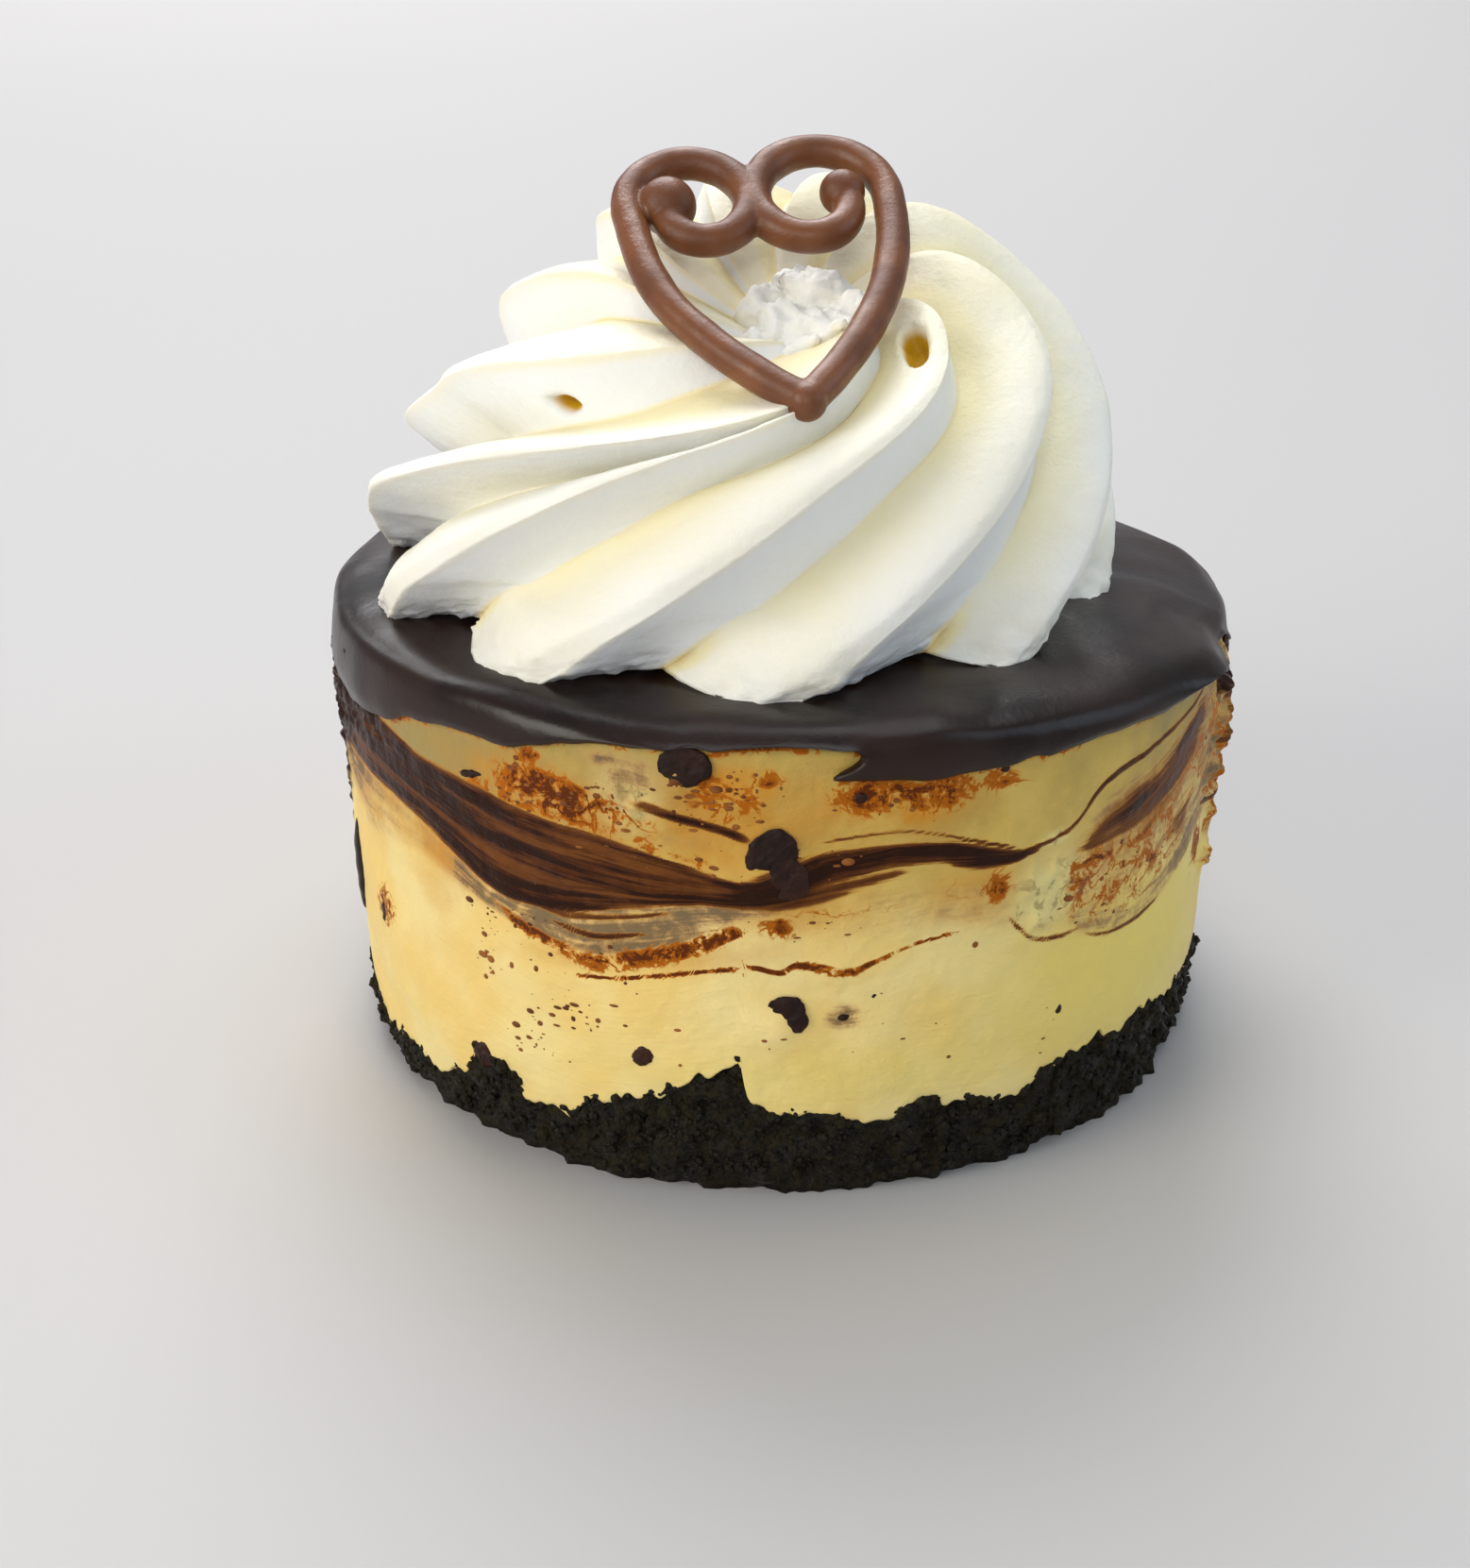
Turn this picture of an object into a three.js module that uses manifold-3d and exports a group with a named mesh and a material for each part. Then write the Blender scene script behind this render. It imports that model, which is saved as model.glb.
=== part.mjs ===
// An individual marble cheesecake, set in a 3 inch ring: a dark crumb base, the cheesecake
// filling, a poured chocolate glaze, a piped rosette of whipped cream and, leaning on the
// cream, a piped chocolate heart scroll.
//
// Millimetres, +Z up, the front faces -Y, the origin is the middle of the underside.
// Angles round the cake are "front angles": 0 at the front, positive towards +X.
import * as THREE from "three";
import { mergeVertices } from "three/addons/utils/BufferGeometryUtils.js";
import Module from "manifold-3d";

const wasm = await Module();
wasm.setup();

// ---------------------------------------------------------------- driving dimensions
const RING_RADIUS = 38.1; // inside of the 3 inch ring that the cake was set in
const FOOT_RADIUS = 37.2; // the crumb base at the bottom
const RIM_RADIUS = 38.7; // the filling just under the glaze
const FILLING_TOP = 40.0; // height of the filling's top at the front
const CRUMB_HEIGHT = 7.6; // mean height of the crumb base at the side
const CRUMB_CORE_HEIGHT = 8.4; // and in the middle
const GLAZE_THICKNESS = 1.4;
const GLAZE_LIP = 0.6; // how far the glaze stands proud of the filling's side
const GAP = 0.3; // clearance between neighbouring layers

const CREAM_AXIS = [-3.8, -1.0]; // the rosette sits left of the cake's middle
const SWIRL_END = [0.4, -10.5]; // middle of the hollow where the piping ends on top of it
const LOBES = 10; // ridges of the star nozzle
const CREAM_TWIST = 112; // degrees that a ridge winds from the glaze to the top
const BACK_TWIST = 16; // and so much further at the back
const FIRST_EDGE = -27; // front angle of one ridge's sharp edge at the glaze

const SCROLL_ROD = 2.7; // diameter of the piped chocolate
const SCROLL_LENGTH = 30.5;
const SCROLL_WIDTH = 20;
const SCROLL_TIP = [1.2, -26.6, 60.9]; // centre of the rod at the heart's point
const SCROLL_RISE = 27.5; // degrees that the scroll leans up from level
const SCROLL_LEAN = 9; // degrees that its top leans to the left

const AROUND = 90; // points round the cake's layers
const RIDGE_STATIONS = [0, 0.1, 0.22, 0.36, 0.52, 0.68, 0.83, 0.94, 0.985]; // across a ridge
const CREAM_RINGS = 22;

// ---------------------------------------------------------------- small mathematics
const radians = THREE.MathUtils.degToRad;
const lerp = THREE.MathUtils.lerp;
const smooth = (x, from, to) => THREE.MathUtils.smoothstep(x, from, to);

// Smallest signed difference of two angles in degrees.
const turnBetween = (a, b) => ((((a - b) % 360) + 540) % 360) - 180;

// A soft bump of height 1 at angle `at`, `width` degrees to each side.
const bump = (a, at, width) => Math.exp(-((turnBetween(a, at) / width) ** 2));

// A repeatable number from 0 to 1 for a pair of whole numbers.
function grain(i, j) {
  const x = Math.sin(i * 127.1 + j * 311.7) * 43758.5453;
  return x - Math.floor(x);
}

// A slow wave round the cake, about -1 to 1, different for each seed.
const wave = (a, seed) =>
  0.5 * Math.sin(radians(3 * a + 77 * seed)) +
  0.3 * Math.sin(radians(7 * a + 131 * seed)) +
  0.2 * Math.sin(radians(13 * a + 29 * seed));

// A smooth curve through evenly spaced values, at t from 0 to 1.
function spline(values, t) {
  const x = THREE.MathUtils.clamp(t, 0, 1) * (values.length - 1);
  const k = Math.min(Math.floor(x), values.length - 2);
  const at = (i) => values[THREE.MathUtils.clamp(i, 0, values.length - 1)];
  const [p0, p1, p2, p3] = [at(k - 1), at(k), at(k + 1), at(k + 2)];
  const u = x - k;
  return (
    p1 +
    0.5 * u * (p2 - p0 + u * (2 * p0 - 5 * p1 + 4 * p2 - p3 + u * (3 * (p1 - p2) + p3 - p0)))
  );
}

// The point at a front angle, a radius from the cake's axis and a height.
const polar = (a, r, z) =>
  new THREE.Vector3(r * Math.sin(radians(a)), -r * Math.cos(radians(a)), z);

const frontAngle = (x, y) => THREE.MathUtils.radToDeg(Math.atan2(x, -y));

// One ring of points round the cake: radius and height are functions of the front angle.
function ring(radius, height) {
  return Array.from({ length: AROUND }, (_, i) => {
    const a = (360 * i) / AROUND;
    const r = radius(a, i);
    return polar(a, r, height(a, r, i));
  });
}

// A closed body: a pole in the middle of the underside, rings from there outwards, up the
// side and back in over the top, and the top's pole. Each ring has the same number of points.
function ringBody(underPole, rings, topPole) {
  const n = rings[0].length;
  const points = [underPole, ...rings.flat(), topPole];
  const faces = [];
  const at = (k, i) => 1 + k * n + (i % n);
  const last = rings.length - 1;
  const reach = (k) => Math.hypot(rings[k][0].x, rings[k][0].y);
  for (let i = 0; i < n; i++) {
    faces.push(0, at(0, i + 1), at(0, i));
    for (let k = 0; k < last; k++) {
      // Both faces of a seam between two layers are split along the same diagonals.
      if (reach(k + 1) < reach(k)) {
        faces.push(at(k, i), at(k, i + 1), at(k + 1, i));
        faces.push(at(k, i + 1), at(k + 1, i + 1), at(k + 1, i));
      } else {
        faces.push(at(k, i), at(k, i + 1), at(k + 1, i + 1));
        faces.push(at(k, i), at(k + 1, i + 1), at(k + 1, i));
      }
    }
    faces.push(at(last, i), at(last, i + 1), points.length - 1);
  }
  const geometry = new THREE.BufferGeometry().setFromPoints(points);
  geometry.setIndex(faces);
  return geometry;
}

// ---------------------------------------------------------------- solids for cutting
function toSolid(geometry) {
  const bare = new THREE.BufferGeometry();
  bare.setAttribute("position", geometry.getAttribute("position"));
  if (geometry.index) bare.setIndex(geometry.index);
  const merged = mergeVertices(bare, 1e-4);
  return new wasm.Manifold(
    new wasm.Mesh({
      numProp: 3,
      vertProperties: new Float32Array(merged.attributes.position.array),
      triVerts: new Uint32Array(merged.index.array),
    }),
  );
}

function toGeometry(solid) {
  const mesh = solid.getMesh();
  const geometry = new THREE.BufferGeometry();
  const points = new Float32Array(mesh.numVert * 3);
  for (let i = 0; i < mesh.numVert; i++) {
    points.set(mesh.vertProperties.subarray(i * mesh.numProp, i * mesh.numProp + 3), i * 3);
  }
  geometry.setAttribute("position", new THREE.BufferAttribute(points, 3));
  geometry.setIndex(new THREE.BufferAttribute(new Uint32Array(mesh.triVerts), 1));
  return geometry;
}

const largestOf = (solid) =>
  solid.decompose().reduce((best, body) => (body.volume() > best.volume() ? body : best));

// ---------------------------------------------------------------- the cake's surfaces
// The side leans out a little from foot to rim.
const sideRadius = (a, z) =>
  lerp(FOOT_RADIUS, RING_RADIUS, smooth(z, -4, 14)) +
  (RIM_RADIUS - RING_RADIUS) * smooth(z, 18, 34) +
  0.18 * wave(a + 4 * z, 1);

// Crags of crumb that climb the side: front angle, how high they rise, half their width.
const CRAGS = [
  [-44, 2.4, 3.4],
  [-18, 1.4, 6],
  [-9, 4.6, 4.2],
  [17, 1.9, 3],
  [36, 1.2, 7],
  [57, 2.7, 9],
];
const BACK_CRAGS = 9; // more of them round the part of the side past these

function crumbEdge(a) {
  let height = CRUMB_HEIGHT - 2.2 * bump(a, -64, 26) + 0.5 * wave(a, 2);
  for (const [at, rise, width] of CRAGS) height += rise * bump(a, at, width);
  for (let k = 0; k < BACK_CRAGS; k++) {
    const at = 84 + (360 - 170) * ((k + 0.2 + 0.6 * grain(k, 1)) / BACK_CRAGS);
    height += (0.8 + 2.8 * grain(k, 2)) * bump(a, at, 2.5 + 4 * grain(k, 3));
  }
  return height;
}

// Where crumb base and filling meet: craggy at the side, level inside.
const seam = (a, r) =>
  lerp(CRUMB_CORE_HEIGHT, crumbEdge(a), smooth(r, 0.55 * RING_RADIUS, 0.97 * RING_RADIUS));

// The filling's top: level under the cream, slumped towards the right and back edge.
const slump = (a) =>
  0.2 + 2.6 * bump(a, 98, 48) + 1.5 * bump(a, 180, 52) + 0.3 * bump(a, -90, 40);
const fillingTop = (a, r) =>
  FILLING_TOP - slump(a) * smooth(r, 0.5 * RIM_RADIUS, RIM_RADIUS) - 0.2 * smooth(r, 0, 30);

const glazeTop = (a, r) => fillingTop(a, r) + GLAZE_THICKNESS;
const glazeTopAt = (x, y) => glazeTop(frontAngle(x, y), Math.hypot(x, y));

// ---------------------------------------------------------------- crumb base
function crumbBase() {
  const rough = (k, depth) => (a, i) => sideRadius(a, 4) - depth * grain(i, k);
  const sideHeight = (share) => (a) => share * crumbEdge(a);
  const rings = [
    ring((a, i) => FOOT_RADIUS - 1.2 - 0.5 * grain(i, 11), () => 0),
    ring((a, i) => FOOT_RADIUS - 0.7 * grain(i, 12), (a, r, i) => 0.5 + 0.5 * grain(i, 13)),
    ring(rough(14, 0.9), sideHeight(0.3)),
    ring(rough(15, 0.8), sideHeight(0.5)),
    ring(rough(16, 0.9), sideHeight(0.7)),
    ring(rough(17, 0.8), sideHeight(0.87)),
    ring((a) => sideRadius(a, 8) - 0.2, (a) => crumbEdge(a)),
  ];
  for (const share of [0.92, 0.78, 0.6, 0.3]) {
    rings.push(ring(() => share * RING_RADIUS, (a, r) => seam(a, r)));
  }
  return ringBody(
    new THREE.Vector3(0, 0, 0),
    rings,
    new THREE.Vector3(0, 0, CRUMB_CORE_HEIGHT),
  );
}

// ---------------------------------------------------------------- cheesecake filling
// Chunks of chocolate that stand out of the side: front angle, height, size, relief.
const CHUNKS = [
  [-2.2, 28.2, 3.0, 0.7],
  [-12.5, 36.2, 2.3, 0.6],
  [-1.5, 15.7, 2.0, 0.5],
];

function fillingSide(a, z) {
  let r = sideRadius(a, z);
  for (const [at, height, size, relief] of CHUNKS) {
    const along = (radians(turnBetween(a, at)) * RING_RADIUS) / size;
    r += relief * Math.exp(-(along ** 2) - ((z - height) / size) ** 2);
  }
  return r + 0.5 * bump(a, 80, 5) * smooth(z, 26, 33);
}

function cheesecakeFilling() {
  const rings = [0.3, 0.6, 0.78, 0.92].map((share) =>
    ring(() => share * RING_RADIUS, (a, r) => seam(a, r) + GAP),
  );
  rings.push(ring((a) => sideRadius(a, 8) - 0.2, (a) => crumbEdge(a) + GAP));
  const sideTop = (a) => fillingTop(a, RIM_RADIUS) - 1.1;
  const sideFoot = (a) => crumbEdge(a) + GAP + 0.4;
  for (const share of [0, 0.2, 0.4, 0.6, 0.8, 1]) {
    const height = (a) => lerp(sideFoot(a), sideTop(a), share);
    rings.push(ring((a) => fillingSide(a, height(a)), height));
  }
  rings.push(ring((a) => fillingSide(a, 39) - 1.0, (a) => fillingTop(a, RIM_RADIUS) - 0.1));
  for (const share of [0.8, 0.55, 0.3]) {
    rings.push(ring(() => share * RIM_RADIUS, (a, r) => fillingTop(a, r)));
  }
  return ringBody(
    new THREE.Vector3(0, 0, CRUMB_CORE_HEIGHT + GAP),
    rings,
    new THREE.Vector3(0, 0, fillingTop(0, 0)),
  );
}

// ---------------------------------------------------------------- chocolate glaze
// Runs of glaze down the side: front angle, how far they drop, half their width.
const GLAZE_RUNS = [
  [-68, 4.9, 24],
  [-36, 1.6, 12],
  [12, 3.0, 8],
  [28, 2.1, 10],
  [47, 1.2, 10],
  [66, 3.0, 7],
  [88, 2.2, 7],
  [118, 3.6, 8],
  [146, 1.8, 13],
  [-176, 3.2, 8],
  [-146, 1.6, 10],
  [-124, 3.4, 9],
];
// Where the rim bulges out past its runs: front angle, how far, half the width.
const GLAZE_BULGES = [
  [13, 0.6, 7],
  [55, 0.9, 5],
  [84, 0.5, 8],
  [118, 0.8, 7],
  [-176, 0.7, 8],
  [-124, 0.7, 8],
  [-84, 0.5, 9],
];

const glazeDrop = (a) =>
  GLAZE_RUNS.reduce((sum, [at, drop, width]) => sum + drop * bump(a, at, width), 0.9);
const glazeLip = (a) =>
  GLAZE_BULGES.reduce((sum, [at, out, width]) => sum + out * bump(a, at, width), GLAZE_LIP);

function chocolateGlaze() {
  const edgeTop = (a) => fillingTop(a, RIM_RADIUS);
  const hem = (a) => edgeTop(a) - glazeDrop(a);
  const side = (a, z) => fillingSide(a, z) + GAP;
  const rings = [0.3, 0.55, 0.8].map((share) =>
    ring(() => share * RIM_RADIUS, (a, r) => fillingTop(a, r) + GAP),
  );
  rings.push(ring((a) => side(a, 39) - 1.0, (a) => edgeTop(a) + GAP));
  rings.push(ring((a) => side(a, 38), (a) => edgeTop(a) - 0.75));
  rings.push(ring((a) => side(a, hem(a)), hem));
  rings.push(ring((a) => side(a, hem(a)) + 0.6 * glazeLip(a), (a) => hem(a) + 0.1));
  const outer = (a) => side(a, 38) + glazeLip(a);
  rings.push(ring(outer, (a) => lerp(hem(a), edgeTop(a), 0.45)));
  rings.push(ring((a) => outer(a) - 0.3, (a) => edgeTop(a) - 0.1));
  rings.push(ring((a) => outer(a) - 1.3, (a) => edgeTop(a) + 0.65 * GLAZE_THICKNESS));
  rings.push(ring((a) => outer(a) - 3.2, (a) => glazeTop(a, 0.92 * RIM_RADIUS)));
  for (const share of [0.8, 0.55, 0.3]) {
    rings.push(ring(() => share * RIM_RADIUS, (a, r) => glazeTop(a, r)));
  }
  return ringBody(
    new THREE.Vector3(0, 0, fillingTop(0, 0) + GAP),
    rings,
    new THREE.Vector3(0, 0, glazeTop(0, 0)),
  );
}

// ---------------------------------------------------------------- cream rosette
// Evenly spaced stations from the glaze to the end of the swirl.
const MOUND = {
  radius: [31.6, 32.4, 31.6, 29.2, 25.4, 20.2, 14.4, 8.0, 0],
  height: [0, 4.5, 10.5, 16.5, 21.3, 24.8, 26.6, 25.0, 20.0],
  tilt: [0, 0, 0.3, 1.2, 2.8, 4.2, 4.4, 3.0, 0], // the top faces forwards
  shift: [0, 0, 0.05, 0.15, 0.32, 0.52, 0.72, 0.88, 1], // towards SWIRL_END
  groove: [4.6, 4.8, 5.0, 4.8, 4.2, 3.4, 2.4, 1.2, 0], // depth between two ridges
  valley: [0.42, 0.6, 0.8, 0.9, 0.9, 0.9, 0.9, 0.9, 0.9], // share of a ridge it takes up
};
const FLAT_RIDGE = { at: -105, width: 33, turn: 40 }; // this one winds early, and lies flatter
const WAIST = { at: -95, width: 45, depth: 4.5 }; // the left side steps in half way up
const FOOT_SPREAD = { at: -10, width: 60, reach: 1.6 }; // and the front's foot spreads

// Depth below the crest across one ridge, 0 to 1: a hollow groove that rises to a broad
// back, and a sharp edge at the end.
function ridgeDepth(phase, valley) {
  const climb = Math.max(0, 1 - phase / valley);
  return climb ** 1.6 + 0.1 * smooth(phase, 0.9, 1);
}

function creamPoint(lobe, phase, t) {
  const station = (name) => spline(MOUND[name], t);
  const step = 0.01;
  const slope = new THREE.Vector2(
    spline(MOUND.radius, t + step) - spline(MOUND.radius, t - step),
    spline(MOUND.height, t + step) - spline(MOUND.height, t - step),
  ).normalize();
  const from = FIRST_EDGE + (360 * (lobe + phase)) / LOBES;
  const early = FLAT_RIDGE.turn * bump(from, FLAT_RIDGE.at, FLAT_RIDGE.width);
  const winding = CREAM_TWIST + BACK_TWIST * bump(from, -170, 70);
  const a = from + winding * t + early * smooth(t, 0.15, 0.6);
  const finned = 1 + 0.35 * bump(a, -100, 50) * (1 - smooth(t, 0.35, 0.8));
  const depth = ridgeDepth(phase, station("valley")) * station("groove") * finned;
  const waist = WAIST.depth * bump(a, WAIST.at, WAIST.width);
  const foot = FOOT_SPREAD.reach * bump(a, FOOT_SPREAD.at, FOOT_SPREAD.width);
  const stepIn = waist * smooth(t, 0.2, 0.36) * (1 - smooth(t, 0.55, 0.9));
  const r = station("radius") - depth * slope.y - stepIn + foot * (1 - smooth(t, 0, 0.2));
  const axis = CREAM_AXIS.map((x, i) => lerp(x, SWIRL_END[i], station("shift")));
  const p = polar(a, Math.max(0, r), 0).add(new THREE.Vector3(axis[0], axis[1], 0));
  const rise = station("height") - station("tilt") * Math.cos(radians(a));
  return p.setZ(rise + depth * slope.x);
}

function creamRosette() {
  const base = glazeTop(0, 0) + GAP;
  const lobes = Array.from({ length: LOBES }, (_, lobe) => lobe);
  const ringAt = (t) =>
    lobes.flatMap((lobe) => RIDGE_STATIONS.map((phase) => creamPoint(lobe, phase, t)));
  const foot = ringAt(0);
  const middle = new THREE.Vector3(CREAM_AXIS[0], CREAM_AXIS[1], 0);
  const onGlaze = (p) => p.setZ(glazeTopAt(p.x, p.y) + GAP);
  const rings = [0.45, 0.8, 1].map((share) =>
    foot.map((p) => onGlaze(middle.clone().lerp(p, share))),
  );
  for (let k = 1; k < CREAM_RINGS; k++) {
    rings.push(ringAt(k / CREAM_RINGS).map((p) => p.setZ(base + Math.max(p.z, 0.6))));
  }
  const top = creamPoint(0, 0, 1);
  return ringBody(onGlaze(middle.clone()), rings, top.setZ(base + top.z));
}

// ---------------------------------------------------------------- chocolate scroll
// Half of the heart in its own plane, from the point at the bottom, out and over the lobe,
// down into the cleft and round into a curl. `side` is -1 for the left half, 1 for the right.
const HEART_SIDE = [[0, 0], [0.15, 0.11], [0.31, 0.26], [0.44, 0.44]]; // shares of width, length
const LOBE_STRETCH = 1.2; // a lobe's height for its width
const CURL_TURN = 390; // degrees from the lobe's outside into the curl
const CURL_STEPS = 15;

function heartHalf(side, size) {
  const points = HEART_SIDE.map(([x, y]) => [x * SCROLL_WIDTH, y * SCROLL_LENGTH]);
  const lobe = 0.25 * SCROLL_WIDTH * size;
  const middle = [0.25 * SCROLL_WIDTH + 0.25, SCROLL_LENGTH - LOBE_STRETCH * lobe - SCROLL_ROD / 2];
  for (let k = 0; k <= CURL_STEPS; k++) {
    const turn = radians(-12 + (CURL_TURN * k) / CURL_STEPS);
    const r = lobe * lerp(1.02, 0.36, smooth(k / CURL_STEPS, 0.42, 1));
    points.push([
      middle[0] + r * Math.cos(turn),
      middle[1] + LOBE_STRETCH * r * Math.sin(turn),
    ]);
  }
  return points.map(([x, y]) => new THREE.Vector2(side * x, y));
}

// The scroll's plane: its up direction rises backwards and leans to the left.
const scrollUp = new THREE.Vector3(0, Math.cos(radians(SCROLL_RISE)), Math.sin(radians(SCROLL_RISE)));
const scrollNormal = new THREE.Vector3(1, 0, 0).cross(scrollUp);
const leaned = (v) => v.applyAxisAngle(scrollNormal, radians(SCROLL_LEAN));
leaned(scrollUp);
const scrollRight = scrollUp.clone().cross(scrollNormal);

const inScrollPlane = (p) =>
  new THREE.Vector3(...SCROLL_TIP)
    .addScaledVector(scrollRight, p.x)
    .addScaledVector(scrollUp, p.y);

function rodAlong(points, diameter, steps) {
  const section = new THREE.Shape().absarc(0, 0, diameter / 2, 0, 2 * Math.PI);
  const path = new THREE.CatmullRomCurve3(points, false, "centripetal");
  return new THREE.ExtrudeGeometry(section, { steps, extrudePath: path, curveSegments: 4 });
}

// The two halves are a little uneven, and each ends in a blob: its radius in rods.
const HEART_HALVES = [
  { side: -1, size: 0.96, blob: 0.86 },
  { side: 1, size: 1.04, blob: 0.68 },
];

// The scroll, or with `extra` the room that it needs.
function chocolateScroll(extra = 0) {
  const diameter = SCROLL_ROD + 2 * extra;
  let solid = null;
  const join = (geometry) => {
    const piece = toSolid(geometry);
    solid = solid ? solid.add(piece) : piece;
  };
  const ball = (at, radius) => {
    const geometry = new THREE.SphereGeometry(radius + extra, 9, 6);
    join(geometry.translate(at.x, at.y, at.z));
  };
  for (const { side, size, blob } of HEART_HALVES) {
    const points = heartHalf(side, size).map(inScrollPlane);
    join(rodAlong(points, diameter, 38));
    ball(points[points.length - 1], blob * SCROLL_ROD);
  }
  ball(inScrollPlane(new THREE.Vector2(0, 0)), 0.55 * SCROLL_ROD);
  return solid;
}

// ---------------------------------------------------------------- the cake
const finish = (color, roughness) => new THREE.MeshStandardMaterial({ color, roughness });

function addPiece(group, name, geometry, material) {
  const mesh = new THREE.Mesh(geometry, material);
  mesh.name = name;
  group.add(mesh);
}

const cake = new THREE.Group();
const scroll = chocolateScroll();
const cream = largestOf(toSolid(creamRosette()).subtract(chocolateScroll(GAP)));

addPiece(cake, "crumb_base", crumbBase(), finish("#1d1713", 0.85));
addPiece(cake, "cheesecake_filling", cheesecakeFilling(), finish("#edcf86", 0.55));
addPiece(cake, "chocolate_glaze", chocolateGlaze(), finish("#2a1c1a", 0.25));
addPiece(cake, "cream_rosette", toGeometry(cream), finish("#fbf6dd", 0.5));
addPiece(cake, "chocolate_scroll", toGeometry(scroll), finish("#6b3a26", 0.35));

export default cake;
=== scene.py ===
"""An individual marble cheesecake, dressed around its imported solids.

The crumb base, the marbled filling, the poured glaze, the piped cream rosette and the
chocolate scroll follow the same laws as the solids, in millimetres, with the front facing
-Y. Angles round the cake are front angles: 0 at the front, positive towards +X. A mesh is
brought to metres when it is made.
"""
import logging
import math
from dataclasses import dataclass, field
from enum import Enum
from itertools import product
from typing import Any, Callable, ClassVar, Sequence

import bmesh
import bpy
import numpy as np
from mathutils import Matrix, Vector


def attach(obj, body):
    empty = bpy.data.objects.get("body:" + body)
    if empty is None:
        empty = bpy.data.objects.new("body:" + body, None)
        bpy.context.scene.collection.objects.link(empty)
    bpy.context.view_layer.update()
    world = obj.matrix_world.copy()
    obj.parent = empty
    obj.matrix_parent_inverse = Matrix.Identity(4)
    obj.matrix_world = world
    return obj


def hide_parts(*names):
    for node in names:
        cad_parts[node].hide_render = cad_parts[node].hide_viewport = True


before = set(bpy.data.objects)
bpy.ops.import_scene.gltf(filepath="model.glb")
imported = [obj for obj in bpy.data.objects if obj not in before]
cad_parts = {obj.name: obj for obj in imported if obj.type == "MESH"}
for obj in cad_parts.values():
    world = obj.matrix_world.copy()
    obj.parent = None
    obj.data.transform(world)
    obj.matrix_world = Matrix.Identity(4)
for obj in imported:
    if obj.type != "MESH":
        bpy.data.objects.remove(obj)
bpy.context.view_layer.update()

Array = np.ndarray
Triple = tuple[float, float, float]
Colour = Triple
Object = bpy.types.Object
Mesh = bpy.types.Mesh
Socket = bpy.types.NodeSocket
log = logging.getLogger("cheesecake")

MM = 0.001  # a millimetre in metres
FULL_TURN = 6.283  # in radians
BODY = "root"


# ---- small mathematics
def smooth(x: Array, low: float, high: float) -> Array:
    """An S-shaped step from 0 at `low` to 1 at `high`."""
    t = np.clip((x - low) / (high - low), 0.0, 1.0)
    return t * t * (3.0 - 2.0 * t)


def mix(a: Array, b: Array, share: Array) -> Array:
    """The value a given share of the way from a to b."""
    return a + (b - a) * share


def turn_between(a: Array, b: float) -> Array:
    """The smallest signed difference of two angles in degrees."""
    return (((a - b) % 360.0) + 540.0) % 360.0 - 180.0


def bump(a: Array, at: float, width: float) -> Array:
    """A soft bump of height 1 at the angle `at`, `width` degrees to each side."""
    return np.exp(-((turn_between(a, at) / width) ** 2))


def grain(i: float, j: float) -> float:
    """A repeatable number from 0 to 1 for a pair of whole numbers."""
    x = math.sin(i * 127.1 + j * 311.7) * 43758.5453
    return x - math.floor(x)


def wave(a: Array, seed: int) -> Array:
    """A slow wave round the cake, about -1 to 1."""
    parts = ((3, 77, 0.5), (7, 131, 0.3), (13, 29, 0.2))
    return sum(size * np.sin(np.radians(n * a + lag * seed)) for n, lag, size in parts)


def spline(values: Sequence[float], t: Array) -> Array:
    """A smooth curve through evenly spaced values.

    Args:
        values: What the curve passes through.
        t: Places along it, 0 at the first value and 1 at the last.

    Returns:
        The curve's value at each place.
    """
    known = np.asarray(values, float)
    last = len(known) - 1
    x = np.clip(t, 0.0, 1.0) * last
    k = np.minimum(np.floor(x).astype(int), last - 1)
    p0, p1, p2, p3 = (known[np.clip(k + step, 0, last)] for step in (-1, 0, 1, 2))
    u = x - k
    bend = 2 * p0 - 5 * p1 + 4 * p2 - p3 + u * (3 * (p1 - p2) + p3 - p0)
    return p1 + 0.5 * u * (p2 - p0 + u * bend)


def polar(a: Array, r: Array, z: Array) -> Array:
    """Points at front angles, radii from the cake's axis and heights."""
    a, r, z = np.broadcast_arrays(np.radians(a), r, z)
    return np.stack([r * np.sin(a), -r * np.cos(a), z], -1)


def lattice(cells: Array, seed: int) -> Array:
    """Repeatable numbers for the points of a whole-numbered grid.

    Args:
        cells: The points, with x, y and z in the last axis.
        seed: Tells one set of numbers from another.

    Returns:
        A number from -1 to 1 for each point.
    """
    # Large odd factors and shifts scramble the bits.
    x, y, z = (cells[..., k].astype(np.int64).astype(np.uint32) for k in range(3))
    h = x * np.uint32(374761393) + y * np.uint32(668265263) + z * np.uint32(2246822519)
    h = h + np.uint32(seed * 3266489917 % 2**32)
    h = (h ^ (h >> np.uint32(13))) * np.uint32(1274126177)
    h = h ^ (h >> np.uint32(16))
    return h / 2147483648.0 - 1.0


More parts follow.
